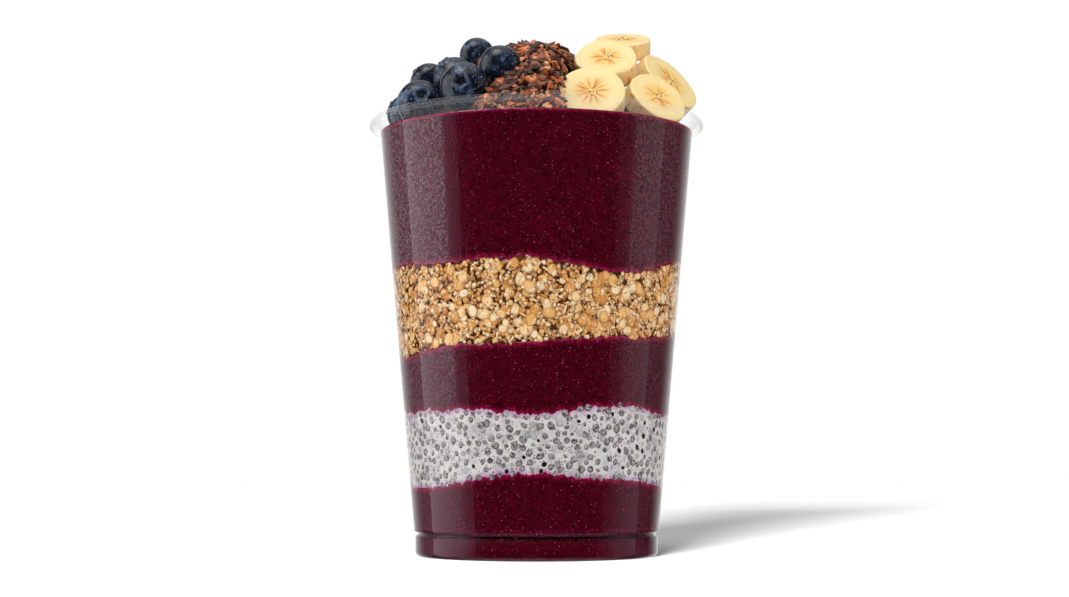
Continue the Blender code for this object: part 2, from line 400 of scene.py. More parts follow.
@dataclass(frozen=True)
class ChiaCream:
    """White pudding, tinted where it meets the acai, with fine brown specks."""

    cream: Colour = srgb(222, 220, 217)
    shade: Colour = srgb(192, 188, 194)
    stain: Colour = srgb(198, 142, 186)
    speck: Colour = srgb(122, 54, 32)

    def build(self, effects: Effects) -> bpy.types.Material:
        """Make the material.

        Args:
            effects: The shared shader groups.

        Returns:
            The finished material.
        """
        made, graph, shader = start_material("chia_cream")
        place = graph.place()
        cloud = graph.ramp(graph.noise(place, 300.0, 3.0), 0.42, 0.7)
        colour = graph.mix(cloud, self.cream, self.shade)
        deep = graph.group(effects.specks, vector=place, scale=420.0, size=0.42, share=0.3)
        colour = graph.mix(graph.math("MULTIPLY", deep.outputs["Mask"], 0.28), colour, srgb(140, 134, 138))
        ragged = graph.attribute("edge").outputs["Fac"]
        ragged = graph.math("MULTIPLY", ragged, graph.noise(place, 480.0, 3.0))
        colour = graph.mix(graph.ramp(ragged, 0.08, 0.62), colour, self.stain)
        for scale, size, share in ((850.0, 0.27, 0.5), (1400.0, 0.32, 0.65)):
            fine = graph.group(effects.specks, vector=place, scale=scale, size=size, share=share)
            colour = graph.mix(graph.math("MULTIPLY", fine.outputs["Mask"], 0.85), colour, self.speck)
        graph.join(colour, shader.inputs["Base Color"])
        shader.inputs["Roughness"].default_value = 0.32
        relief = graph.group(effects.relief, vector=place, scale=500.0, depth=0.00012)
        graph.join(relief.outputs["Normal"], shader.inputs["Normal"])
        set_soft(shader, 0.15, 0.0015, (1.0, 0.9, 0.85))
        return made


@dataclass(frozen=True)
class ChiaSeedSkin:
    """Swollen seeds: grey-brown, mottled, dark at the outline, a few nearly black, with painted white glints.
    """

    body: Colour = srgb(172, 164, 166)
    mottle: Colour = srgb(74, 62, 62)
    outline: Colour = srgb(50, 44, 50)
    black: Colour = srgb(34, 18, 14)
    cream: Colour = srgb(214, 210, 212)

    def build(self, effects: Effects) -> bpy.types.Material:
        """Make the material.

        Args:
            effects: The shared shader groups.

        Returns:
            The finished material.
        """
        made, graph, shader = start_material("chia_seed_skin")
        place = graph.place()
        spots = graph.ramp(graph.noise(place, 1500.0, 3.0, 0.6), 0.42, 0.62)
        colour = graph.mix(spots, self.body, self.mottle)
        rim = graph.ramp(graph.attribute("rim").outputs["Fac"], 0.55, 0.9)
        colour = graph.mix(graph.math("MULTIPLY", rim, 0.75), colour, self.outline)
        tint = graph.attribute("tint").outputs["Fac"]
        colour = graph.mix(graph.math("MULTIPLY", graph.ramp(tint, 0.35, 0.0), 0.62), colour, self.cream)
        colour = graph.mix(graph.ramp(tint, 0.91, 0.93), colour, self.black)
        # painted highlights: tiny near-white glints scattered on the seeds
        shine = graph.group(effects.specks, vector=place, scale=1250.0, size=0.16, share=0.35)
        colour = graph.mix(shine.outputs["Mask"], colour, srgb(240, 240, 244))
        graph.join(colour, shader.inputs["Base Color"])
        shader.inputs["Roughness"].default_value = 0.2
        relief = graph.group(effects.relief, vector=place, scale=900.0, depth=0.0001)
        graph.join(relief.outputs["Normal"], shader.inputs["Normal"])
        return made


@dataclass(frozen=True)
class ToastedFlake:
    """Toasted oats: tan to golden brown, powdery, each piece its own tone, with painted shade toward its edges.
    """

    pale: Colour = srgb(254, 228, 184)
    golden: Colour = srgb(248, 192, 114)
    brown: Colour = srgb(216, 140, 66)
    # colour of the painted shade at each piece's edge, partly toasted colour
    gap: Colour = srgb(168, 96, 38)

    def build(self, effects: Effects) -> bpy.types.Material:
        """Make the material.

        Args:
            effects: The shared shader groups.

        Returns:
            The finished material.
        """
        made, graph, shader = start_material("toasted_flake")
        place = graph.place()
        tint = graph.attribute("tint").outputs["Fac"]
        streak = graph.math("MULTIPLY_ADD", graph.noise(place, 900.0, 4.0, 0.65), 0.9, -0.45)
        shade = graph.math("ADD", tint, streak)
        colour = graph.mix(graph.ramp(shade, 0.1, 0.6), self.pale, self.golden)
        colour = graph.mix(graph.ramp(shade, 0.55, 1.05), colour, self.brown)
        char = graph.group(effects.specks, vector=place, scale=700.0, size=0.22, share=0.2)
        colour = graph.mix(graph.math("MULTIPLY", char.outputs["Mask"], 0.6), colour, srgb(92, 48, 22))
        # painted shade, partly toasted colour: each piece darkens toward its edges, as in the gaps between
        # pieces
        brim = graph.ramp(graph.attribute("rim").outputs["Fac"], 0.62, 1.0)
        colour = graph.mix(graph.math("MULTIPLY", brim, 0.6), colour, self.gap)
        graph.join(colour, shader.inputs["Base Color"])
        shader.inputs["Roughness"].default_value = 0.62
        relief = graph.group(effects.relief, vector=place, scale=1000.0, depth=0.00025)
        graph.join(relief.outputs["Normal"], shader.inputs["Normal"])
        return made


@dataclass(frozen=True)
class DarkCore:
    """The dim inside of a loose heap, seen between its pieces."""

    name: str
    dark: Colour
    light: Colour

    def build(self, effects: Effects) -> bpy.types.Material:
        """Make the material.

        Args:
            effects: The shared shader groups.

        Returns:
            The finished material.
        """
        made, graph, shader = start_material(self.name)
        place = graph.place()
        colour = graph.mix(graph.ramp(graph.noise(place, 500.0, 4.0), 0.4, 0.7), self.dark, self.light)
        graph.join(colour, shader.inputs["Base Color"])
        shader.inputs["Roughness"].default_value = 0.8
        relief = graph.group(effects.relief, vector=place, scale=450.0, depth=0.0008)
        graph.join(relief.outputs["Normal"], shader.inputs["Normal"])
        return made


@dataclass(frozen=True)
class CacaoPiece:
    """Broken cacao: dark chunks or orange-brown husk, streaked, slightly waxy."""

    name: str
    dark: Colour
    middle: Colour
    light: Colour
    roughness: float = 0.42

    def build(self, effects: Effects) -> bpy.types.Material:
        """Make the material.

        Args:
            effects: The shared shader groups.

        Returns:
            The finished material.
        """
        made, graph, shader = start_material(self.name)
        place = graph.place()
        tint = graph.attribute("tint").outputs["Fac"]
        streak = graph.math("MULTIPLY_ADD", graph.noise(place, 750.0, 4.0, 0.6), 1.0, -0.5)
        shade = graph.math("ADD", tint, streak)
        colour = graph.mix(graph.ramp(shade, 0.05, 0.5), self.dark, self.middle)
        colour = graph.mix(graph.ramp(shade, 0.55, 1.0), colour, self.light)
        graph.join(colour, shader.inputs["Base Color"])
        shader.inputs["Roughness"].default_value = self.roughness
        relief = graph.group(effects.relief, vector=place, scale=800.0, depth=0.0003)
        graph.join(relief.outputs["Normal"], shader.inputs["Normal"])
        return made


@dataclass(frozen=True)
class BerrySkin:
    """Nearly black blue skin under a dusty bloom that is rubbed off in patches."""

    skin: Colour = srgb(9, 10, 17)
    bloom: Colour = srgb(104, 134, 172)
    thin: Colour = srgb(26, 36, 56)
    crown: Colour = srgb(24, 24, 32)

    def build(self, effects: Effects) -> bpy.types.Material:
        """Make the material.

        Args:
            effects: The shared shader groups.

        Returns:
            The finished material.
        """
        made, graph, shader = start_material("berry_skin")
        place = graph.place()
        wide = graph.noise(place, 170.0, 5.0, 0.62)
        worn = graph.noise(place, 620.0, 4.0, 0.7)
        cover = graph.math("ADD", graph.math("MULTIPLY", wide, 0.7), graph.math("MULTIPLY", worn, 0.45))
        colour = graph.mix(graph.ramp(cover, 0.48, 0.62), self.skin, self.thin)
        dusty = graph.ramp(cover, 0.6, 0.74)
        colour = graph.mix(graph.math("MULTIPLY", dusty, 0.8), colour, self.bloom)
        for scale, size, gain in ((1300.0, 0.24, 0.9), (700.0, 0.16, 1.0)):
            fine = graph.group(effects.specks, vector=place, scale=scale, size=size, share=0.35)
            colour = graph.mix(graph.math("MULTIPLY", fine.outputs["Mask"], gain), colour, self.bloom)
        colour = graph.mix(graph.attribute("crown").outputs["Fac"], colour, self.crown)
        # bloom and painted highlight: the crown's raised ring is lightened to the bloom colour in worn patches
        brim = graph.math("MULTIPLY", graph.attribute("brim").outputs["Fac"], graph.ramp(worn, 0.3, 0.75))
        colour = graph.mix(brim, colour, self.bloom)
        graph.join(colour, shader.inputs["Base Color"])
        graph.join(graph.math("MULTIPLY_ADD", dusty, 0.3, 0.22), shader.inputs["Roughness"])
        relief = graph.group(effects.relief, vector=place, scale=420.0, depth=0.00016)
        graph.join(relief.outputs["Normal"], shader.inputs["Normal"])
        return made


@dataclass(frozen=True)
class BananaFlesh:
    """Moist cut flesh: cream, with an amber star from the middle and ridged sides."""

    cream: Colour = srgb(253, 226, 164)
    warm: Colour = srgb(251, 202, 98)
    amber: Colour = srgb(216, 124, 18)
    side: Colour = srgb(248, 216, 152)
    ridge: Colour = srgb(226, 148, 58)

    def build(self, effects: Effects) -> bpy.types.Material:
        """Make the material.

        Args:
            effects: The shared shader groups.

        Returns:
            The finished material.
        """
        made, graph, shader = start_material("banana_flesh")
        place = graph.place()
        local = graph.attribute("local").outputs["Vector"]
        split = graph.node("ShaderNodeSeparateXYZ")
        graph.join(local, split.inputs[0])
        flat = graph.node("ShaderNodeCombineXYZ")
        graph.join(split.outputs[0], flat.inputs[0])
        graph.join(split.outputs[1], flat.inputs[1])
        length = graph.node("ShaderNodeVectorMath", operation="LENGTH")
        graph.join(flat.outputs[0], length.inputs[0])
        radius = length.outputs["Value"]
        unit = graph.node("ShaderNodeVectorMath", operation="NORMALIZE")
        graph.join(flat.outputs[0], unit.inputs[0])
        seeded = graph.node("ShaderNodeVectorMath", operation="ADD")
        graph.join(unit.outputs[0], seeded.inputs[0])
        graph.join(graph.attribute("seed").outputs["Vector"], seeded.inputs[1])
        rays = graph.noise(seeded.outputs[0], 3.4, 2.0, 0.5)
        wobble = graph.math("MULTIPLY_ADD", graph.noise(place, 420.0, 2.0), 0.16, -0.08)
        star = graph.ramp(graph.math("ADD", rays, wobble), 0.5, 0.6)
        reach = graph.math("MULTIPLY", graph.ramp(radius, 0.62, 0.25), graph.ramp(radius, 0.02, 0.14))
        star = graph.math("MULTIPLY", star, reach)
        core = graph.math("MULTIPLY", graph.ramp(radius, 0.78, 0.2), 0.8)
        colour = graph.mix(core, self.cream, self.warm)
        colour = graph.mix(graph.math("MULTIPLY", star, 0.95), colour, self.amber)
        ring = graph.math("MULTIPLY", graph.ramp(radius, 0.78, 0.86), graph.ramp(radius, 0.96, 0.88))
        ring = graph.math("MULTIPLY", ring, graph.noise(place, 300.0, 2.0))
        colour = graph.mix(graph.math("MULTIPLY", ring, 0.35), colour, self.warm)
        strands = graph.noise(seeded.outputs[0], 9.0, 3.0, 0.6)
        edge = graph.mix(graph.ramp(strands, 0.5, 0.66), self.side, self.ridge)
        colour = graph.mix(graph.attribute("flank").outputs["Fac"], colour, edge)
        graph.join(colour, shader.inputs["Base Color"])
        gloss = graph.noise(place, 350.0, 3.0)
        graph.join(graph.math("MULTIPLY_ADD", gloss, 0.3, 0.25), shader.inputs["Roughness"])
        relief = graph.group(effects.relief, vector=place, scale=520.0, depth=0.00018)
        graph.join(relief.outputs["Normal"], shader.inputs["Normal"])
        set_soft(shader, 0.18, 0.002, (1.0, 0.75, 0.4))
        return made


@dataclass(frozen=True)
class BananaSeed:
    """Tiny undeveloped seeds, brown or pale."""

    brown: Colour = srgb(128, 74, 38)
    pale: Colour = srgb(255, 246, 220)

    def build(self) -> bpy.types.Material:
        """Make the material."""
        made, graph, shader = start_material("banana_seed")
        tint = graph.attribute("tint").outputs["Fac"]
        colour = graph.mix(graph.ramp(tint, 0.5, 0.52), self.brown, self.pale)
        graph.join(colour, shader.inputs["Base Color"])
        shader.inputs["Roughness"].default_value = 0.4
        return made


# ---------------------------------------------------------------- mesh tools


def finish_piece(name: str, mesh: bpy.types.Mesh, material: bpy.types.Material,
                 nodes: tuple[str, ...]) -> bpy.types.Object:
    """Link a mesh as a piece of the part.

    Args:
        name: Name of the piece.
        mesh: Its mesh, in place.
        material: Its finish.
        nodes: The solids that it stands for.

    Returns:
        The linked object.
    """
    mesh.materials.clear()
    mesh.materials.append(material)
    mesh.polygons.foreach_set("use_smooth", [True] * len(mesh.polygons))
    piece = bpy.data.objects.new(name, mesh)
    bpy.context.scene.collection.objects.link(piece)
    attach(piece, "root")
    if nodes:
        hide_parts(*nodes)
    LOG.info("%s: %d faces", name, len(mesh.polygons))
    return piece


def spun(points: list[tuple[float, float]], steps: int) -> bmesh.types.BMesh:
    """Turn an outline in the XZ plane once round the Z axis.

    Args:
        points: Radius and height of each point, in metres.
        steps: Facets round the axis.

    Returns:
        The turned shape, with its doubles merged.
    """
    shape = bmesh.new()
    corners = [shape.verts.new((radius, 0.0, height)) for radius, height in points]
    for first, second in zip(corners, corners[1:]):
        shape.edges.new((first, second))
    bmesh.ops.spin(
        shape, geom=shape.verts[:] + shape.edges[:], axis=(0.0, 0.0, 1.0), cent=(0.0, 0.0, 0.0),
        angle=math.tau, steps=steps, use_merge=True,
    )
    bmesh.ops.remove_doubles(shape, verts=shape.verts, dist=1e-7)
    return shape


def closed_mesh(name: str, shape: bmesh.types.BMesh) -> bpy.types.Mesh:
    """Turn a closed shape into a mesh whose faces point outwards."""
    bmesh.ops.recalc_face_normals(shape, faces=shape.faces)
    mesh = bpy.data.meshes.new(name)
    shape.to_mesh(mesh)
    shape.free()
    return mesh


def arc(centre: tuple[float, float], radius: float, start: float, end: float,
        steps: int) -> list[tuple[float, float]]:
    """Points of an arc in the profile plane.

    Args:
        centre: Radius and height of the arc's centre.
        radius: Its radius.
        start: First angle in degrees, from outwards towards up.
        end: Last angle in degrees.
        steps: Straight steps between them.

    Returns:
        The points, ends included.
    """
    turns = [math.radians(start + (end - start) * step / steps) for step in range(steps + 1)]
    return [(centre[0] + radius * math.cos(turn), centre[1] + radius * math.sin(turn)) for turn in turns]


def add_values(mesh: bpy.types.Mesh, name: str, values: np.ndarray) -> None:
    """Store one number for each corner point of a mesh."""
    layer = mesh.attributes.new(name, "FLOAT", "POINT")
    layer.data.foreach_set("value", np.asarray(values, dtype=np.float32))


def corner_places(mesh: bpy.types.Mesh) -> np.ndarray:
    """Places of a mesh's points, one row each."""
    places = np.empty(len(mesh.vertices) * 3, dtype=np.float64)
    mesh.vertices.foreach_get("co", places)
    return places.reshape(-1, 3)


@dataclass(frozen=True)
class Bit:
    """The shape of a small thing that is repeated, as arrays."""

    corners: np.ndarray
    triangles: np.ndarray

    @classmethod
    def from_shape(cls, shape: bmesh.types.BMesh) -> Bit:
        """Read a shape into arrays and free it."""
        bmesh.ops.recalc_face_normals(shape, faces=shape.faces)
        bmesh.ops.triangulate(shape, faces=shape.faces)
        shape.verts.index_update()
        corners = np.array([corner.co[:] for corner in shape.verts])
        triangles = np.array([[corner.index for corner in face.verts] for face in shape.faces])
        shape.free()
        return cls(corners, triangles)


@dataclass
class Crowd:
    """Many small things joined in one mesh."""

    corners: list[np.ndarray] = field(default_factory=list)
    triangles: list[np.ndarray] = field(default_factory=list)
    values: dict[str, list[np.ndarray]] = field(default_factory=dict)
    count: int = 0

    def add(self, bit: Bit, places: np.ndarray, turns: np.ndarray, **values: np.ndarray) -> None:
        """Add copies of one bit.

        Args:
            bit: The shape.
            places: Place of each copy.
            turns: Matrix that turns and sizes each copy.
            values: Numbers to store, one for each copy or for each point of each copy.
        """
        moved = np.einsum("nij,vj->nvi", turns, bit.corners) + places[:, None, :]
        size = len(bit.corners)
        offsets = self.count + size * np.arange(len(places))
        self.corners.append(moved.reshape(-1, 3))
        self.triangles.append((bit.triangles[None] + offsets[:, None, None]).reshape(-1, 3))
        for name, value in values.items():
            spread = value if value.ndim == 2 else np.repeat(value[:, None], size, axis=1)
            self.values.setdefault(name, []).append(spread.reshape(-1))
        self.count += size * len(places)

    def mesh(self, name: str, limit: "CupForm | None" = None, reach: float = 0.0) -> bpy.types.Mesh:
        """Join everything into one mesh.

        Args:
            name: Name of the mesh.
            limit: The cup that flattens what presses against its wall.
            reach: How far into the wall a point may go.

        Returns:
            The joined mesh.
        """
        corners = np.concatenate(self.corners)
        if limit is not None:
            radius = np.hypot(corners[:, 0], corners[:, 1])
            most = limit.inner_radius(corners[:, 2]) + reach
            shrink = np.minimum(1.0, most / np.maximum(radius, 1e-9))
            corners[:, :2] *= shrink[:, None]
        triangles = np.concatenate(self.triangles)
        mesh = bpy.data.meshes.new(name)
        mesh.vertices.add(len(corners))
        mesh.vertices.foreach_set("co", corners.reshape(-1).astype(np.float32))
        mesh.loops.add(len(triangles) * 3)
        mesh.loops.foreach_set("vertex_index", triangles.reshape(-1).astype(np.int32))
        mesh.polygons.add(len(triangles))
        mesh.polygons.foreach_set("loop_start", np.arange(len(triangles), dtype=np.int32) * 3)
        mesh.update(calc_edges=True)
        for label, value in self.values.items():
            add_values(mesh, label, np.concatenate(value))
        return mesh


def lumpy(shape: bmesh.types.BMesh, amount: float, frequency: float, seed: float) -> bmesh.types.BMesh:
    """Push a shape's points in and out with noise.

    Args:
        shape: The shape to change.
        amount: Largest push, as a share of the distance from the middle.
        frequency: Waves of the noise in a unit.
        seed: Where in the noise it is read.

    Returns:
        The same shape.
    """
    for corner in shape.verts:
        push = noise.noise(corner.co * frequency + Vector((seed, 1.7 * seed, -seed)))
        corner.co *= 1.0 + amount * push
    return shape


def crumb(seed: int, size: tuple[float, float, float], amount: float, detail: int = 2) -> Bit:
    """A rough crumb of a few dozen faces.

    Args:
        seed: Number of the crumb.
        size: Half its length, width and thickness.
        amount: How uneven it is.
        detail: 1 for an angular crumb, 2 for a rounder one.

    Returns:
        The crumb.
    """
    shape = bmesh.new()
    bmesh.ops.create_icosphere(shape, subdivisions=detail, radius=1.0)
    lumpy(shape, amount, 1.3, 7.3 * seed)
    bmesh.ops.scale(shape, vec=size, verts=shape.verts)
    return Bit.from_shape(shape)


def chunk(seed: int, size: tuple[float, float, float]) -> Bit:
    """A broken, angular chunk: the hull of a dozen points.

    Args:
        seed: Number of the chunk.
        size: Half its length, width and thickness.

    Returns:
        The chunk.
    """
    pick = np.random.default_rng(seed)
    shape = bmesh.new()
    for _ in range(13):
        way = Vector(pick.normal(size=3)).normalized() * pick.uniform(0.72, 1.0)
        shape.verts.new(way)
    hull = bmesh.ops.convex_hull(shape, input=shape.verts)
    spare = [item for item in hull["geom_interior"] if isinstance(item, bmesh.types.BMVert)]
    bmesh.ops.delete(shape, geom=spare, context="VERTS")
    bmesh.ops.scale(shape, vec=size, verts=shape.verts)
    return Bit.from_shape(shape)


def husk(seed: int, length: float, width: float, bend: float) -> Bit:
    """A curved fragment of husk with a ragged outline.

    Args:
        seed: Number of the fragment.
        length: Half its length.
        width: Half its width.
        bend: Angle in radians that it bends through from side to side.

    Returns:
        The fragment.
    """
    pick = np.random.default_rng(seed)
    shape = bmesh.new()
    bmesh.ops.create_grid(shape, x_segments=4, y_segments=3, size=1.0)
    for corner in shape.verts:
        ragged = 1.0 + 0.35 * (pick.random() - 0.5)
        along, across = corner.co.x * ragged, corner.co.y * ragged
        turn = across * bend / 2
        radius = 2 * width / bend
        corner.co = Vector((
            along * length, radius * math.sin(turn),
            radius * (math.cos(turn) - 1.0) - 0.12 * length * along ** 2 + 0.1 * width * pick.normal(),
        ))
    bmesh.ops.solidify(shape, geom=shape.faces[:], thickness=0.00028)
    return Bit.from_shape(shape)


def frames(outward: np.ndarray, lean: np.ndarray, pick: np.random.Generator) -> np.ndarray:
    """Turns whose Z looks along `outward`, spun at random and leant over.

    Args:
        outward: Direction for each copy.
        lean: Angle in radians that each copy leans by.
        pick: Source of random numbers.

    Returns:
        One matrix for each copy.
    """
    count = len(outward)
    axis = outward / np.linalg.norm(outward, axis=1, keepdims=True)
    axis = axis + np.tan(lean)[:, None] * pick.normal(size=(count, 3)) * 0.6
    axis /= np.linalg.norm(axis, axis=1, keepdims=True)
    helper = pick.normal(size=(count, 3))
    first = np.cross(axis, helper)
    first /= np.linalg.norm(first, axis=1, keepdims=True)
    second = np.cross(axis, first)
    return np.stack([first, second, axis], axis=2)


# ---------------------------------------------------------------- the cup


@dataclass
class CupForm:
    """Sizes and outline of the clear cup, worked out from its box."""

    steps: int = 144
    wall: float = 0.6 * MM
    base_radius: float = 35.0 * MM
    wall_foot_radius: float = 35.4 * MM
    wall_foot_z: float = 8.0 * MM
    groove_z: float = 6.5 * MM
    groove_depth: float = 0.75 * MM
    foot_inner: float = 29.5 * MM
    foot_outer: float = 33.4 * MM
    heel: float = 1.6 * MM
    push_up: float = 2.0 * MM
    lip_bead: float = 1.8 * MM
    rim_inset: float = 3.25 * MM
    free_z: float = 122.9 * MM
    rim_drop: float = 2.7 * MM
    lip_radius: float = field(init=False)
    height: float = field(init=False)
    rim_radius: float = field(init=False)
    rim_z: float = field(init=False)
    slope: float = field(init=False)

    def __post_init__(self) -> None:
        """Take the height and the lip's radius from the frame."""
        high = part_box("cup")[1]
        self.lip_radius = high[0]
        self.height = high[2]
        self.rim_radius = self.lip_radius - self.rim_inset
        self.rim_z = self.height - self.rim_drop
        self.slope = (self.rim_radius - self.wall_foot_radius) / (self.rim_z - self.wall_foot_z)

    def inner_radius(self, height: float | np.ndarray) -> float | np.ndarray:
        """Radius of the wall's inner face at a height."""
        return self.wall_foot_radius + self.slope * (height - self.wall_foot_z) - self.wall

    def base_inside(self, reach: float) -> list[tuple[float, float]]:
        """Inner outline of the base, from the axis to the wall.

        Args:
            reach: How far to push it into the plastic.

        Returns:
            Radius and height of each point.
        """
        heel = self.heel
        thick = self.wall - reach
        groove = self.base_radius - self.groove_depth - thick
        points = [(0.0, self.push_up + thick), (self.foot_inner - 2.7 * MM, self.push_up + thick)]
        points += [(self.foot_inner + 0.2 * MM, thick)]
        points += arc((self.foot_outer, heel), heel - thick, -90, 0, 6)
        points += [(self.base_radius - thick, self.groove_z - 1.2 * MM)]
        points += [(groove + 0.1 * MM, self.groove_z - 0.5 * MM), (groove, self.groove_z + 0.1 * MM)]
        points += [(groove + 0.1 * MM, self.groove_z + 0.6 * MM)]
        points += [(self.wall_foot_radius - thick - 0.1 * MM, self.wall_foot_z - 0.5 * MM)]
        points += [(self.wall_foot_radius - thick, self.wall_foot_z)]
        return points

    def outline(self) -> list[tuple[float, float]]:
        """Closed cross-section of the cup, from the axis below to the axis inside."""
        heel = self.heel
        groove = self.base_radius - self.groove_depth
        points = [(0.0, self.push_up), (self.foot_inner - 3.0 * MM, self.push_up)]
        points += arc((self.foot_inner - 0.6 * MM, 0.6 * MM), 0.6 * MM, -130, -90, 3)
        points += [(self.foot_outer - 0.4 * MM, 0.0)]
        points += arc((self.foot_outer, heel), heel, -90, 0, 10)
        points += [(self.base_radius, self.groove_z - 1.1 * MM)]
        points += arc((self.base_radius - 0.35 * MM, self.groove_z - 0.75 * MM), 0.35 * MM, 0, 80, 4)
        points += arc((groove + 0.3 * MM, self.groove_z), 0.3 * MM, 230, 130, 4)
        points += arc((self.wall_foot_radius - 0.4 * MM, self.wall_foot_z - 0.5 * MM), 0.4 * MM, -80, 0, 4)
        rows = [*np.linspace(self.wall_foot_z, self.free_z, 16), self.rim_z]
        points += [(self.wall_foot_radius + self.slope * (z - self.wall_foot_z), z) for z in rows]
        centre = (self.lip_radius - self.lip_bead, self.height - self.lip_bead)
        hollow = self.lip_bead - self.wall
        points += arc(centre, hollow, 178, 0, 10)
        points += arc((self.lip_radius - self.wall / 2, centre[1] - 0.15 * MM), self.wall / 2, 180, 360, 5)
        points += arc(centre, self.lip_bead, 0, 160, 14)
        points += [(self.rim_radius - self.wall + 0.12 * MM, centre[1] - 0.1 * MM)]
        points += [(self.inner_radius(z), z) for z in reversed(rows)]
        return points + self.base_inside(0.0)[-2::-1]

    def build(self, wall_finish: bpy.types.Material, lip_finish: bpy.types.Material) -> None:
        """Make the cup and dress it.

        Args:
            wall_finish: Finish of the wall that the filling presses against.
            lip_finish: Finish of the free part above the filling.
        """
        mesh = closed_mesh("clear_cup", spun(self.outline(), self.steps))
        finish_piece("clear_cup", mesh, wall_finish, ("cup",))
        mesh.materials.append(lip_finish)
        for face in mesh.polygons:
            face.material_index = 1 if face.center.z > self.free_z else 0


# ---------------------------------------------------------------- the layers


@dataclass(frozen=True)
class Joint:
    """Wavy, ragged joint between two layers."""

    level: float
    waves: tuple[tuple[int, float, float], ...]
    ragged: float
    seed: float

    def rise(self, x: float, y: float) -> float:
        """How far the joint stands above its level at a place on the wall.

        Args:
            x: Place along X.
            y: Place along Y.

        Returns:
            The height above the mean level.
        """
        angle = math.atan2(x, -y)
        swell = sum(size * math.cos(count * angle + math.radians(phase))
                    for count, size, phase in self.waves)
        spot = Vector((math.cos(angle), math.sin(angle), self.seed))
        rough = sum(size * noise.noise(spot * scale)
                    for size, scale in ((0.7, 9.0), (0.8, 24.0), (0.6, 55.0)))
        return swell * MM + self.ragged * rough


@dataclass
class Filling:
    """The five layers in the cup, each a turned solid that reaches just into the wall."""

    form: CupForm
    steps: int = 480
    reach: float = 0.06 * MM
    fill_level: float = 122.9 * MM
    dish_radius: float = 38.5 * MM
    dish_level: float = 119.0 * MM
    chia_floor: Joint = Joint(
        21.0 * MM, ((1, 1.0, 0), (2, 1.2, -14), (3, 0.6, -7), (5, 0.4, 63)), 0.9 * MM, 3.0)
    chia_top: Joint = Joint(
        41.9 * MM, ((1, 0.9, 149), (2, 0.7, -141), (3, 0.5, -38), (5, 1.0, 177)), 1.1 * MM, 11.0)
    granola_floor: Joint = Joint(
        60.6 * MM, ((1, 3.1, -102), (2, 0.4, -162), (3, 0.9, 44), (5, 0.6, -145)), 0.8 * MM, 17.0)
    granola_top: Joint = Joint(
        82.2 * MM, ((1, 0.9, -130), (2, 0.9, 120), (3, 1.1, 75), (5, 1.0, 6)), 1.0 * MM, 23.0)

    def wall_rows(self, floor: float, top: float) -> list[float]:
        """Heights of the rows of points up the wall, close together at both ends."""
        near = (0.0, 0.5 * MM, 1.2 * MM, 2.4 * MM, 4.0 * MM)
        lower = [floor + step for step in near]
        upper = [top - step for step in reversed(near)]
        return lower + [(floor + top) / 2] + upper

    def layer(self, name: str, floor: Joint | None, top: Joint | None, inset: float) -> bpy.types.Mesh:
        """Turn one layer and shape its joints.

        Args:
            name: Name of the mesh.
            floor: Joint below it, or None for the layer in the base.
            top: Joint above it, or None for the layer under the toppings.
            inset: How far it stays inside the common radius, so that a neighbour covers it.

        Returns:
            The layer's mesh, with its edges marked, and the painted shade and painted highlight at the foot's
            groove.
        """
        low = floor.level if floor else self.form.wall_foot_z
        high = top.level if top else self.fill_level
        extra = self.reach - inset
        rows = [(self.form.inner_radius(z) + extra, z) for z in self.wall_rows(low, high)]
        start = [(0.0, low), (0.6 * rows[0][0], low)] if floor else self.form.base_inside(extra)[:-1]
        if top:
            end = [(0.6 * rows[-1][0], high), (0.0, high)]
        else:
            end = arc((rows[-1][0] - 0.5 * MM, high - 0.45 * MM), 0.5 * MM, 60, 90, 2)
            end += [(self.dish_radius + 4.6 * MM, high - 0.2 * MM)]
            end += [(self.dish_radius + 2.8 * MM, high - 2.4 * MM)]
            end += [(self.dish_radius, self.dish_level), (0.0, self.dish_level)]
        shape = spun(start + rows + end, self.steps)
        edge = []
        shade = []
        middle = (low + high) / 2
        for corner in shape.verts:
            x, y, z = corner.co
            radius = math.hypot(x, y)
            near = 0.0
            for joint, sign in ((floor, 1.0), (top, -1.0)):
                if joint is None or sign * (z - middle) > 1e-9:
                    continue
                share = min(1.0, abs(z - middle) / max(abs(joint.level - middle) - 4.0 * MM, 1e-6))
                fade = min(1.0, radius / self.form.inner_radius(joint.level)) ** 2
                gap = abs(z - joint.level)
                corner.co.z += joint.rise(x, y) * share * fade
                near = max(near, 1.0 - gap / (2.4 * MM))
            if low - 1e-9 <= z <= high + 1e-9 and radius > 0.9 * self.form.inner_radius(z):
                outward = Vector((x, y)) / radius * (radius + self.form.slope * (corner.co.z - z))
                corner.co.x, corner.co.y = outward
            if top is None and high - z < 0.6 * MM:
                near = 0.8
            # painted highlight: a lighter crimson band just above the foot's groove, drawn with the edge tint
            if floor is None and abs(z - self.form.wall_foot_z - 0.2 * MM) < 0.5 * MM:
                near = 0.45
            edge.append(max(near, 0.0))
            # painted shade: the row in the foot's groove is marked to be darkened
            in_groove = floor is None and abs(z - self.form.groove_z + 0.2 * MM) < 0.4 * MM
            shade.append(1.0 if in_groove else 0.0)
        mesh = closed_mesh(name, shape)
        add_values(mesh, "edge", np.array(edge))
        add_values(mesh, "shade", np.array(shade))
        return mesh

    def build(self, acai: bpy.types.Material, cream: bpy.types.Material) -> None:
        """Make the acai and the pudding; the granola has a class of its own.

        Args:
            acai: Finish of the three acai layers.
            cream: Finish of the chia pudding.
        """
        inset = 0.03 * MM
        for name, floor, top in (("acai_bottom", None, self.chia_floor),
                                 ("acai_middle", self.chia_top, self.granola_floor),
                                 ("acai_top", self.granola_top, None)):
            mesh = self.layer(f"{name}_puree", floor, top, 0.0)
            finish_piece(f"{name}_puree", mesh, acai, (name,))
        mesh = self.layer("chia_pudding", self.chia_floor, self.chia_top, inset)
        finish_piece("chia_pudding", mesh, cream, ("chia_layer",))


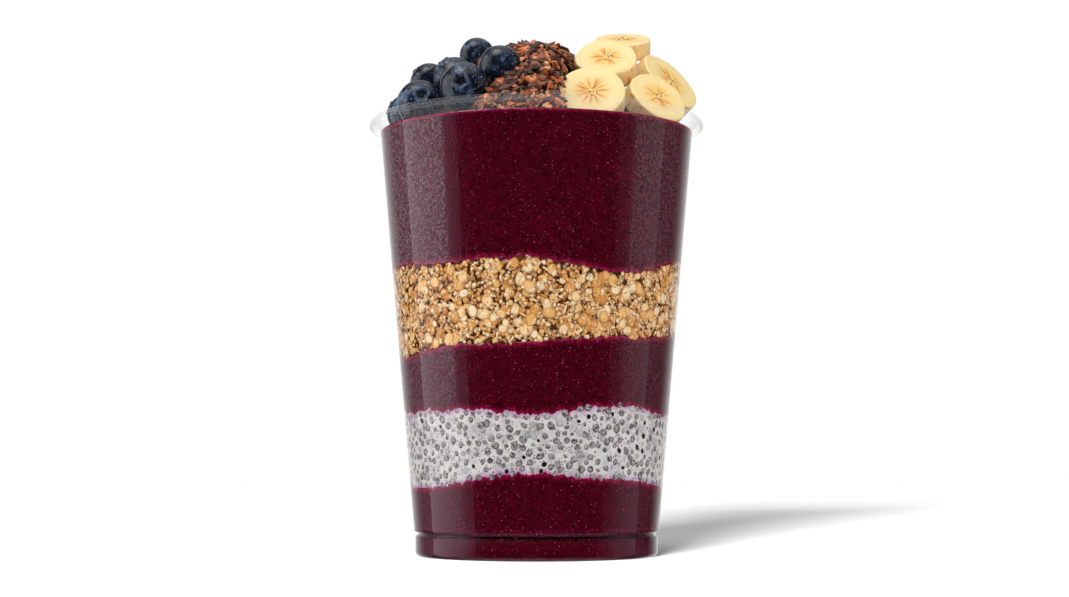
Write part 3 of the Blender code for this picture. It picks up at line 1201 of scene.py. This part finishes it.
@dataclass
class ChiaSeeds:
    """Swollen chia seeds pressed against the wall."""

    form: CupForm
    filling: Filling
    tries: int = 9000
    spacing: float = 1.85 * MM
    half_width: float = 1.05 * MM
    half_height: float = 1.28 * MM

    def spots(self, pick: np.random.Generator) -> np.ndarray:
        """Angles and heights of seeds that keep their distance.

        Args:
            pick: Source of random numbers.

        Returns:
            Angle and height of each seed.
        """
        floor, top = self.filling.chia_floor, self.filling.chia_top
        radius = self.form.inner_radius((floor.level + top.level) / 2)
        kept: list[tuple[float, float]] = []
        flat = np.empty((0, 3))
        for _ in range(self.tries):
            angle = pick.uniform(0.0, math.tau)
            x, y = radius * math.sin(angle), -radius * math.cos(angle)
            low = floor.level + floor.rise(x, y) + 0.3 * MM
            high = top.level + top.rise(x, y) + 0.1 * MM
            z = pick.uniform(low, high)
            spot = np.array([[x, y, z]])
            room = self.spacing * pick.uniform(0.85, 1.35)
            if len(flat) and np.min(np.linalg.norm(flat - spot, axis=1)) < room:
                continue
            flat = np.vstack([flat, spot])
            kept.append((angle, z))
        return np.array(kept)

    def build(self, material: bpy.types.Material) -> None:
        """Make the seeds and dress them."""
        pick = np.random.default_rng(41)
        spots = self.spots(pick)
        crowd = Crowd()
        for kind in range(4):
            bit = crumb(60 + kind, (1.0, 1.0, 1.0), 0.16)
            mine = spots[kind::4]
            count = len(mine)
            angle, z = mine[:, 0], mine[:, 1]
            outward = np.stack([np.sin(angle), -np.cos(angle), np.zeros(count)], axis=1)
            across = np.stack([np.cos(angle), np.sin(angle), np.zeros(count)], axis=1)
            up = np.tile([0.0, 0.0, 1.0], (count, 1))
            roll = pick.normal(0.0, 0.45, count)[:, None]
            side = across * np.cos(roll) + up * np.sin(roll)
            tall = up * np.cos(roll) - across * np.sin(roll)
            size = pick.uniform(0.62, 1.18, (count, 1))
            tint = pick.random(count)
            size = np.where(tint[:, None] > 0.92, size * 0.72, size)
            width = self.half_width * size * pick.uniform(0.85, 1.1, (count, 1))
            height = self.half_height * size * pick.uniform(0.85, 1.15, (count, 1))
            depth = 0.8 * MM
            turns = np.stack([side * width, tall * height, outward * depth], axis=2)
            radius = self.form.inner_radius(z) - depth * 0.42
            places = outward * radius[:, None]
            places[:, 2] = z
            rim = np.hypot(bit.corners[:, 0], bit.corners[:, 1])
            crowd.add(bit, places, turns, tint=tint, rim=np.tile(rim, (count, 1)))
        mesh = crowd.mesh("chia_seeds", self.form, 0.09 * MM)
        finish_piece("chia_seeds", mesh, material, ("chia_layer",))


@dataclass
class Granola:
    """Toasted oat flakes, slivers and crumbs packed against the wall round a dark core."""

    form: CupForm
    filling: Filling
    flakes: int = 620
    crumbs: int = 6400
    slivers: int = 1700

    def core(self, material: bpy.types.Material) -> None:
        """Make the dim core behind the pieces."""
        filling = self.filling
        mesh = filling.layer("granola_core", filling.granola_floor, filling.granola_top, 1.5 * MM)
        finish_piece("granola_core", mesh, material, ("granola_layer",))

    def spots(self, count: int, margin: float, deep: float, pick: np.random.Generator) -> tuple[
            np.ndarray, np.ndarray]:
        """Random places just inside the wall.

        Args:
            count: How many places.
            margin: Distance kept from the joints above and below.
            deep: Greatest distance from the wall.
            pick: Source of random numbers.

        Returns:
            The places, and the outward direction at each.
        """
        floor, top = self.filling.granola_floor, self.filling.granola_top
        angle = pick.uniform(0.0, math.tau, count)
        outward = np.stack([np.sin(angle), -np.cos(angle), np.zeros(count)], axis=1)
        low = np.array([floor.level + floor.rise(x, y) for x, y, _ in outward]) + margin
        high = np.array([top.level + top.rise(x, y) for x, y, _ in outward]) - margin
        z = low + (high - low) * pick.random(count)
        radius = self.form.inner_radius(z) - deep * pick.random(count) ** 1.2
        places = outward * radius[:, None]
        places[:, 2] = z
        return places, outward

    def build(self, core: bpy.types.Material, flake: bpy.types.Material) -> None:
        """Make the core and the three kinds of piece.

        Args:
            core: Finish of the core.
            flake: Finish of the pieces.
        """
        self.core(core)
        pick = np.random.default_rng(52)
        kinds = (
            ("granola_flakes", self.flakes, (1.7, 1.35, 0.4), 0.22, 0.35, 0.9, 2),
            ("granola_crumbs", self.crumbs, (0.78, 0.6, 0.5), 0.8, 0.6, 1.6, 1),
            ("granola_slivers", self.slivers, (1.35, 0.34, 0.3), 0.5, 0.5, 1.3, 1),
        )
        for name, total, size, lean, amount, deep, detail in kinds:
            crowd = Crowd()
            for kind in range(5):
                bit = crumb(10 * kind + total, tuple(part * MM for part in size), amount, detail)
                places, outward = self.spots(total // 5, 0.35 * size[1] * MM, deep * MM, pick)
                turns = frames(outward, np.abs(pick.normal(0.0, lean, len(places))), pick)
                turns *= pick.uniform(0.6, 1.3, (len(places), 1, 1))
                rim = np.hypot(bit.corners[:, 0] / size[0], bit.corners[:, 1] / size[1]) / MM
                tint = pick.random(len(places))
                crowd.add(bit, places, turns, tint=tint, rim=np.tile(rim, (len(places), 1)))
            mesh = crowd.mesh(name, self.form, 0.05 * MM)
            finish_piece(name, mesh, flake, ("granola_layer",))


# ---------------------------------------------------------------- the toppings


@dataclass(frozen=True)
class Berry:
    """One blueberry's place, read from its solid."""

    node: str
    centre: Vector
    radius: float
    crown: Vector

    @classmethod
    def from_node(cls, node: str, solid: bpy.types.Object) -> Berry:
        """Read a berry: its crown is where its surface comes nearest its middle."""
        low, high = (Vector(corner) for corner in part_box(node))
        centre = (low + high) / 2
        offsets = [corner.co - centre for corner in solid.data.vertices]
        radius = max(offset.length for offset in offsets)
        return cls(node, centre, radius, min(offsets, key=len_of).normalized())


def len_of(offset: Vector) -> float:
    """Length of an offset, to sort by."""
    return offset.length


@dataclass(frozen=True)
class SliceSpot:
    """One banana slice's place, read from its solid."""

    node: str
    centre: Vector
    radius: float
    half: float
    normal: Vector

    @classmethod
    def from_node(cls, node: str, solid: bpy.types.Object) -> SliceSpot:
        """Read a slice: its cut faces are its largest flat areas, and the shown one looks up."""
        low, high = (Vector(corner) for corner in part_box(node))
        centre = (low + high) / 2
        places = corner_places(solid.data) - np.array(centre)
        spread = np.linalg.eigh(places.T @ places)[1]
        normal = Vector(spread[:, 0])
        normal = -normal if normal.z < 0 else normal
        along = places @ np.array(normal)
        across = np.linalg.norm(places - np.outer(along, np.array(normal)), axis=1)
        return cls(node, centre, float(across.max()), float(along.max()), normal)


@dataclass
class NibHeap:
    """Cacao nibs: dark chunks and curved husk over a dim core."""

    form: CupForm
    filling: Filling
    berries: list[Berry]
    slices: list[SliceSpot]
    height: float = 25.5 * MM
    edge_level: float = 124.7 * MM
    chunks: int = 1800
    husks: int = 1700
    nib_band: tuple[float, float] = (14.0 * MM, 5.0 * MM)
    core_sink: float = 2.0 * MM
    berries_from: float = -16.5 * MM
    sink_under_berries: float = 4.5 * MM
    slices_from: float = 6.5 * MM
    sink_under_slices: float = 7.0 * MM

    def level(self, x: float, y: float) -> float:
        """Top of the heap at a place.

        Args:
            x: Place along X.
            y: Place along Y.

        Returns:
            Its height.
        """
        along, across = x / MM, y / MM
        away = min(1.0, math.hypot(x, y) / self.form.inner_radius(self.filling.fill_level))
        berry_side = 0.62 / (1.0 + math.exp((along + 21.0) / 1.8))
        banana_edge = 9.0 + 5.0 / (1.0 + math.exp(-(across + 10.0) / 2.5))
        banana_side = 0.62 / (1.0 + math.exp((banana_edge - along) / 2.0))
        front_left = 0.25 * math.exp(-((along + 14.0) / 8.0) ** 2 - ((across + 30.0) / 9.0) ** 2)
        rise = self.height * (1.0 - away ** 1.7) * (1.0 - berry_side - banana_side - front_left)
        uneven = 0.7 * MM * math.sin(0.45 * along + 1.0) * math.sin(0.38 * across + 0.4) * (1.0 - away)
        return self.edge_level + rise + uneven

    def core(self, material: bpy.types.Material) -> None:
        """Make the dim core, a little lower than the pieces on it."""
        edge = self.form.inner_radius(self.filling.fill_level) - 0.6 * MM
        dish = self.filling.dish_level
        points = [(0.0, dish), (self.filling.dish_radius, dish)]
        points += [(edge - 4.0 * MM, self.filling.fill_level - 3.2 * MM)]
        points += [((edge - 3.0 * MM) * (1.0 - step / 14), self.edge_level) for step in range(15)]
        shape = spun(points, 72)
        for corner in shape.verts:
            if corner.co.z > self.edge_level - 0.1 * MM:
                away = math.hypot(corner.co.x, corner.co.y) / edge
                sink = self.core_sink
                if corner.co.x < self.berries_from and away > 0.85:
                    sink = self.sink_under_berries
                if corner.co.x > self.slices_from and away > 0.5:
                    sink = self.sink_under_slices
                corner.co.z = max(self.level(corner.co.x, corner.co.y) - sink, dish + 0.5 * MM)
        finish_piece("nib_core", closed_mesh("nib_core", shape), material, ("nib_heap",))

    def free(self, places: np.ndarray, room: float) -> np.ndarray:
        """Which places keep clear of the fruit.

        Args:
            places: The places to test.
            room: Distance to keep from the fruit's surface.

        Returns:
            One truth value for each place.
        """
        clear = np.ones(len(places), dtype=bool)
        for berry in self.berries:
            clear &= np.linalg.norm(places - np.array(berry.centre), axis=1) > berry.radius + room
        for spot in self.slices:
            offset = places - np.array(spot.centre)
            along = offset @ np.array(spot.normal)
            across = np.linalg.norm(offset - np.outer(along, np.array(spot.normal)), axis=1)
            clear &= (np.abs(along) > spot.half + room) | (across > spot.radius + room)
        return clear

    def spots(self, count: int, room: float, sink: float, pick: np.random.Generator) -> tuple[
            np.ndarray, np.ndarray]:
        """Random places on the heap, thicker at the wall.

        Args:
            count: How many places to try.
            room: Distance to keep from the fruit.
            sink: How deep below the surface they may lie.
            pick: Source of random numbers.

        Returns:
            The places, and the heap's outward direction at each.
        """
        edge = self.form.inner_radius(self.filling.fill_level)
        away = edge * np.sqrt(pick.random(count))
        rim = pick.random(count) < 0.16
        away[rim] = edge - 0.9 * MM * pick.random(int(rim.sum()))
        turn = pick.uniform(0.0, math.tau, count)
        x, y = away * np.cos(turn), away * np.sin(turn)
        step = 0.5 * MM
        z = np.array([self.level(a, b) for a, b in zip(x, y)])
        east = np.array([self.level(a + step, b) for a, b in zip(x, y)]) - z
        north = np.array([self.level(a, b + step) for a, b in zip(x, y)]) - z
        outward = np.stack([-east, -north, np.full(count, step)], axis=1)
        z = z - sink * pick.random(count) - 0.2 * MM
        z[rim] = self.filling.fill_level + 0.5 * MM + 2.6 * MM * pick.random(int(rim.sum()))
        places = np.stack([x, y, z], axis=1)
        clear = self.free(places, room)
        clear &= ~rim | ((x > -self.nib_band[0]) & (x < self.nib_band[1]))
        lone = (x < -1.15 * self.nib_band[0]) | (x > 1.6 * self.nib_band[1])
        clear &= ~lone | ((z > self.edge_level + 1.5 * MM) & (y > -12.0 * MM))
        return places[clear], outward[clear]

    def build(self, core: bpy.types.Material, chunk_finish: bpy.types.Material,
              husk_finish: bpy.types.Material) -> None:
        """Make the core, the chunks and the husk.

        Args:
            core: Finish of the core.
            chunk_finish: Finish of the chunks.
            husk_finish: Finish of the husk.
        """
        self.core(core)
        pick = np.random.default_rng(63)
        chunks = Crowd()
        for kind in range(6):
            bit = chunk(70 + kind, (2.1 * MM, 1.3 * MM, 0.9 * MM))
            places, outward = self.spots(self.chunks // 6, 0.35 * MM, 1.3 * MM, pick)
            turns = frames(outward, np.abs(pick.normal(0.0, 0.7, len(places))), pick)
            turns *= pick.uniform(0.55, 1.3, (len(places), 1, 1))
            chunks.add(bit, places, turns, tint=pick.random(len(places)))
        mesh = chunks.mesh("nib_chunks", self.form, 0.0)
        piece = finish_piece("nib_chunks", mesh, chunk_finish, ("nib_heap",))
        piece.data.polygons.foreach_set("use_smooth", [False] * len(mesh.polygons))
        husks = Crowd()
        for kind in range(6):
            bit = husk(80 + kind, (1.35 + 0.12 * kind) * MM, (0.72 + 0.06 * kind) * MM, 1.5 + 0.3 * kind)
            places, outward = self.spots(self.husks // 6, 0.3 * MM, 0.8 * MM, pick)
            turns = frames(outward, np.abs(pick.normal(0.0, 0.75, len(places))), pick)
            turns *= pick.uniform(0.6, 1.25, (len(places), 1, 1))
            husks.add(bit, places, turns, tint=pick.random(len(places)))
        mesh = husks.mesh("nib_husks", self.form, 0.0)
        piece = finish_piece("nib_husks", mesh, husk_finish, ("nib_heap",))
        piece.data.polygons.foreach_set("use_smooth", [False] * len(mesh.polygons))


@dataclass
class Blueberries:
    """Blueberries with a five-pointed crown."""

    berries: list[Berry]
    ring: float = 0.29
    ring_width: float = 0.05

    def shape(self, berry: Berry) -> tuple[bmesh.types.BMesh, np.ndarray]:
        """Make one berry on the Z axis, its crown on top.

        Args:
            berry: Its sizes.

        Returns:
            The shape, and how much each point belongs to the crown's hollow and to its brim.
        """
        shape = bmesh.new()
        bmesh.ops.create_uvsphere(shape, u_segments=60, v_segments=56, radius=1.0)
        seed = berry.centre.x / MM
        marks = []
        for corner in shape.verts:
            x, y, z = corner.co
            around = math.atan2(y, x)
            off = math.hypot(x, y) if z > 0 else 2.0
            points = 1.0 + 0.09 * math.cos(5 * around) + 0.05 * math.sin(3 * around + seed)
            ring = math.exp(-((off - self.ring * points) / self.ring_width) ** 2)
            inside = 1.0 / (1.0 + math.exp((off - self.ring * 0.86) / 0.03))
            lump = 0.02 * noise.noise(corner.co * 1.6 + Vector((seed, 0.0, 3.0)))
            corner.co *= 0.985 + lump
            corner.co.z *= 0.93
            corner.co.z += 0.08 * ring - 0.11 * inside
            marks.append((min(1.0, inside), ring))
        return shape, np.array(marks)

    def build(self, material: bpy.types.Material) -> None:
        """Make every berry and dress it."""
        for berry in self.berries:
            shape, marks = self.shape(berry)
            turn = berry.crown.to_track_quat("Z", "Y").to_matrix().to_4x4()
            spin = Matrix.Rotation(berry.centre.y / MM, 4, "Z")
            place = Matrix.Translation(berry.centre) @ turn @ spin @ Matrix.Scale(berry.radius, 4)
            bmesh.ops.transform(shape, matrix=place, verts=shape.verts)
            mesh = closed_mesh(f"{berry.node}_skin", shape)
            add_values(mesh, "crown", marks[:, 0])
            add_values(mesh, "brim", marks[:, 1])
            finish_piece(f"{berry.node}_skin", mesh, material, (berry.node,))


@dataclass
class BananaSlices:
    """Round banana slices with ridged sides, a starred middle and tiny seeds."""

    slices: list[SliceSpot]
    steps: int = 96
    rounding: float = 0.55 * MM

    def shape(self, spot: SliceSpot, seed: int) -> tuple[bmesh.types.BMesh, np.ndarray]:
        """Make one slice on the Z axis.

        Args:
            spot: Its sizes.
            seed: Number of the slice.

        Returns:
            The shape, and for each point its place from -1 to 1 and how far it is on the side.
        """
        half, radius, bend = spot.half, spot.radius, self.rounding
        rows = [(radius * part, -half) for part in (0.0, 0.15, 0.35, 0.6, 0.85)]
        rows += arc((radius - bend, -half + bend), bend, -90, 0, 4)
        rows += [(radius, half * part) for part in (-0.5, 0.0, 0.5)]
        rows += arc((radius - bend, half - bend), bend, 0, 90, 4)
        rows += [(radius * part, half) for part in (0.85, 0.6, 0.35, 0.15, 0.0)]
        shape = spun(rows, self.steps)
        marks = []
        for corner in shape.verts:
            x, y, z = corner.co
            off = math.hypot(x, y)
            around = math.atan2(y, x)
            flank = 1.0 if abs(z) < half - 0.8 * bend and off > 0.9 * radius else 0.0
            marks.append((x / radius, y / radius, z / half, flank))
            outline = 0.012 * math.cos(3 * around + seed) + 0.012 * math.cos(5 * around - 2.0 * seed)
            ridge = 0.008 * math.cos(23 * around + 3.0 * math.sin(2 * around + seed)) * flank
            shrink = 1.015 + outline + ridge if off > 0.1 * radius else 1.0
            corner.co.x *= shrink
            corner.co.y *= shrink
            dome = 0.05 * noise.noise(Vector((x, y, seed * MM)) / radius * 2.2 + Vector((0.0, 0.0, seed)))
            corner.co.z *= 0.97 + dome
        return shape, np.array(marks)

    def seeds(self, crowd: Crowd, spot: SliceSpot, place: Matrix, pick: np.random.Generator) -> None:
        """Add a slice's seeds, along three short lines from the middle of each cut face.

        Args:
            crowd: Where the seeds go.
            spot: The slice.
            place: Its place.
            pick: Source of random numbers.
        """
        bit = crumb(99, (0.21 * MM, 0.16 * MM, 0.12 * MM), 0.3)
        lines = pick.uniform(0.0, math.tau) + np.arange(3) * math.tau / 3
        for side in (1.0, -1.0):
            count = 20
            line = lines[pick.integers(0, 3, count)] + pick.normal(0.0, 0.32, count)
            away = spot.radius * pick.uniform(0.04, 0.24, count)
            lift = np.full(count, side * spot.half * 0.975)
            flat = np.stack([away * np.cos(line), away * np.sin(line), lift], axis=1)
            matrix = np.array(place)
            places = flat @ matrix[:3, :3].T + matrix[:3, 3]
            turns = frames(np.tile(np.array(spot.normal), (count, 1)), np.full(count, 0.2), pick)
            turns *= pick.uniform(0.7, 1.5, (count, 1, 1))
            crowd.add(bit, places, turns, tint=pick.random(count))

    def build(self, flesh: bpy.types.Material, seed_finish: bpy.types.Material) -> None:
        """Make every slice and the seeds on them.

        Args:
            flesh: Finish of the slices.
            seed_finish: Finish of the seeds.
        """
        pick = np.random.default_rng(74)
        crowd = Crowd()
        for number, spot in enumerate(self.slices, start=1):
            shape, marks = self.shape(spot, number)
            tilt = spot.normal.to_track_quat("Z", "Y").to_matrix().to_4x4()
            place = Matrix.Translation(spot.centre) @ tilt
            bmesh.ops.transform(shape, matrix=place, verts=shape.verts)
            mesh = closed_mesh(f"{spot.node}_flesh", shape)
            local = mesh.attributes.new("local", "FLOAT_VECTOR", "POINT")
            local.data.foreach_set("vector", marks[:, :3].reshape(-1).astype(np.float32))
            shift = np.tile([3.1 * number, 1.7 * number, 0.0], (len(marks), 1))
            shift[:, 2] = np.where(marks[:, 2] > 0, 0.0, 5.0)
            seed = mesh.attributes.new("seed", "FLOAT_VECTOR", "POINT")
            seed.data.foreach_set("vector", shift.reshape(-1).astype(np.float32))
            add_values(mesh, "flank", marks[:, 3])
            finish_piece(f"{spot.node}_flesh", mesh, flesh, (spot.node,))
            self.seeds(crowd, spot, place, pick)
        finish_piece("banana_seeds", crowd.mesh("banana_seeds"), seed_finish, ())


# ---------------------------------------------------------------- the studio


@dataclass
class Studio:
    """White floor and background, soft lamps, a low sun for the floor alone, and the camera."""

    eye: tuple[float, float, float] = (-0.00058, -0.57, 0.0276)
    pitch: float = 4.72
    lens: float = 65.9
    ambient: float = 0.42
    overhead: float = 0.58
    sun_power: float = 36.0
    sun_angle: float = 16.0
    sun_way: tuple[float, float, float] = (0.27, 1.0, -0.165)
    aim_z: float = 0.08
    floor_size: float = 6.0
    floor_grey: Colour = (0.46, 0.46, 0.46, 1.0)
    bounce_grey: Colour = (0.25, 0.25, 0.25, 1.0)
    fade_from: float = 0.7
    fade_to: float = 1.6

    def floor(self) -> None:
        """Make the floor, which keeps the shadow near the cup and fades to plain white."""
        shape = bmesh.new()
        bmesh.ops.create_grid(shape, x_segments=1, y_segments=1, size=self.floor_size)
        mesh = bpy.data.meshes.new("studio_floor")
        shape.to_mesh(mesh)
        shape.free()
        made, graph, shader = start_material("studio_floor")
        shader.inputs["Base Color"].default_value = self.floor_grey
        shader.inputs["Roughness"].default_value = 1.0
        shader.inputs["Specular IOR Level"].default_value = 0.0
        white = graph.node("ShaderNodeEmission")
        length = graph.node("ShaderNodeVectorMath", operation="LENGTH")
        graph.join(graph.place(), length.inputs[0])
        fade = graph.node("ShaderNodeMixShader")
        graph.join(graph.ramp(length.outputs["Value"], self.fade_from, self.fade_to), fade.inputs[0])
        graph.join(shader.outputs[0], fade.inputs[1])
        graph.join(white.outputs[0], fade.inputs[2])
        path = graph.node("ShaderNodeLightPath")
        bounce = graph.node("ShaderNodeBsdfDiffuse")
        bounce.inputs["Color"].default_value = self.bounce_grey
        clear = graph.node("ShaderNodeBsdfTransparent")
        mirror = graph.node("ShaderNodeMixShader")
        graph.join(path.outputs["Is Glossy Ray"], mirror.inputs[0])
        graph.join(bounce.outputs[0], mirror.inputs[1])
        graph.join(clear.outputs[0], mirror.inputs[2])
        seen = graph.math("MAXIMUM", path.outputs["Is Camera Ray"], path.outputs["Is Transmission Ray"])
        pick = graph.node("ShaderNodeMixShader")
        graph.join(seen, pick.inputs[0])
        graph.join(mirror.outputs[0], pick.inputs[1])
        graph.join(fade.outputs[0], pick.inputs[2])
        graph.join(pick.outputs[0], made.node_tree.nodes["Material Output"].inputs["Surface"])
        mesh.materials.append(made)
        plane = bpy.data.objects.new("studio_floor", mesh)
        bpy.context.scene.collection.objects.link(plane)
        self.shade(plane)

    def shade(self, plane: bpy.types.Object) -> None:
        """Shine a low, soft sun on the floor alone, for the long shadow.

        Args:
            plane: The floor.
        """
        only = bpy.data.collections.new("floor_only")
        only.objects.link(plane)
        light = bpy.data.lights.new("floor_sun", "SUN")
        light.energy = self.sun_power
        light.angle = math.radians(self.sun_angle)
        sun = bpy.data.objects.new("floor_sun", light)
        sun.rotation_euler = Vector(self.sun_way).to_track_quat("-Z", "Y").to_euler()
        bpy.context.scene.collection.objects.link(sun)
        sun.light_linking.receiver_collection = only

    def world(self) -> None:
        """White to look at, softer as light, and dark in front for the cup's reflections."""
        world = bpy.data.worlds.new("studio")
        world.use_nodes = True
        bpy.context.scene.world = world
        graph = Graph(world.node_tree)
        background = world.node_tree.nodes["Background"]
        way = graph.node("ShaderNodeTexCoord").outputs["Generated"]
        split = graph.node("ShaderNodeSeparateXYZ")
        graph.join(way, split.inputs[0])
        behind = graph.ramp(split.outputs[1], 0.6, 0.98)
        steep = graph.ramp(graph.math("ABSOLUTE", split.outputs[2]), 0.66, 0.92)
        bright = graph.math("MAXIMUM", behind, steep)
        mirrored = graph.mix(bright, (0.0, 0.0, 0.0, 1.0), (0.9, 0.9, 0.9, 1.0))
        path = graph.node("ShaderNodeLightPath")
        high = graph.ramp(split.outputs[2], 0.0, 0.9)
        level = graph.mix(high, (self.ambient,) * 3 + (1.0,), (self.overhead,) * 3 + (1.0,))
        colour = graph.mix(path.outputs["Is Glossy Ray"], level, mirrored)
        seen = graph.math("MAXIMUM", path.outputs["Is Camera Ray"], path.outputs["Is Transmission Ray"])
        colour = graph.mix(seen, colour, (1.0, 1.0, 1.0, 1.0))
        graph.join(colour, background.inputs["Color"])

    def lamp(self, name: str, place: tuple[float, float, float], size: tuple[float, float], power: float,
             mirrored: bool = True) -> None:
        """Hang a soft white lamp that looks at the cup.

        Args:
            name: Name of the lamp.
            place: Where it hangs.
            size: Its width and height.
            power: Its power.
            mirrored: Whether it shows in glossy things.
        """
        light = bpy.data.lights.new(name, "AREA")
        light.shape = "RECTANGLE"
        light.size, light.size_y = size
        light.energy = power
        lamp = bpy.data.objects.new(name, light)
        lamp.location = place
        lamp.visible_glossy = mirrored
        aim = Vector((0.0, 0.0, self.aim_z)) - Vector(place)
        lamp.rotation_euler = aim.to_track_quat("-Z", "Y").to_euler()
        bpy.context.scene.collection.objects.link(lamp)

    def camera(self) -> None:
        """Place the camera low in front of the cup."""
        camera = bpy.data.objects.new("camera", bpy.data.cameras.new("camera"))
        camera.data.lens = self.lens
        camera.location = self.eye
        camera.rotation_euler = (math.radians(90.0 + self.pitch), 0.0, 0.0)
        bpy.context.scene.collection.objects.link(camera)
        bpy.context.scene.camera = camera

    def build(self) -> None:
        """Set up the whole studio."""
        bpy.context.scene.view_settings.view_transform = "Standard"
        self.camera()
        self.floor()
        self.world()
        self.lamp("left_lamp", (-0.697, -0.067, self.aim_z), (0.7, 1.3), 4.6)
        self.lamp("right_lamp", (0.695, -0.087, self.aim_z), (0.55, 1.3), 1.3)
        self.lamp("front_lamp", (0.75, -1.75, 0.5), (0.9, 0.6), 10.0, False)
        self.lamp("top_lamp", (-0.25, -0.25, 0.9), (0.5, 0.5), 2.6)


def main() -> None:
    """Build every piece in order and note each in the log."""
    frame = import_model()
    solids = frame["nodes"]
    effects = Effects()
    Studio().build()
    form = CupForm()
    form.build(ClearPlastic().build(), LipPlastic().build())
    filling = Filling(form)
    filling.build(AcaiFlesh().build(effects), ChiaCream().build(effects))
    ChiaSeeds(form, filling).build(ChiaSeedSkin().build(effects))
    granola_core = DarkCore("granola_shade", srgb(92, 50, 20), srgb(186, 116, 56)).build(effects)
    Granola(form, filling).build(granola_core, ToastedFlake().build(effects))
    berries = [Berry.from_node(name, solid) for name, solid in sorted(solids.items())
               if name.startswith("blueberry")]
    slices = [SliceSpot.from_node(name, solid) for name, solid in sorted(solids.items())
              if name.startswith("banana")]
    nib_core = DarkCore("nib_shade", srgb(26, 12, 8), srgb(70, 36, 20)).build(effects)
    chunk_look = CacaoPiece("cacao_chunk", srgb(30, 14, 10), srgb(82, 42, 28), srgb(156, 96, 66))
    husk_look = CacaoPiece("cacao_husk", srgb(116, 54, 26), srgb(204, 108, 56), srgb(248, 178, 120))
    NibHeap(form, filling, berries, slices).build(nib_core, chunk_look.build(effects), husk_look.build(effects))
    Blueberries(berries).build(BerrySkin().build(effects))
    BananaSlices(slices).build(BananaFlesh().build(effects), BananaSeed().build())


if __name__ == "__main__":
    logging.basicConfig(level=logging.INFO)
    main()
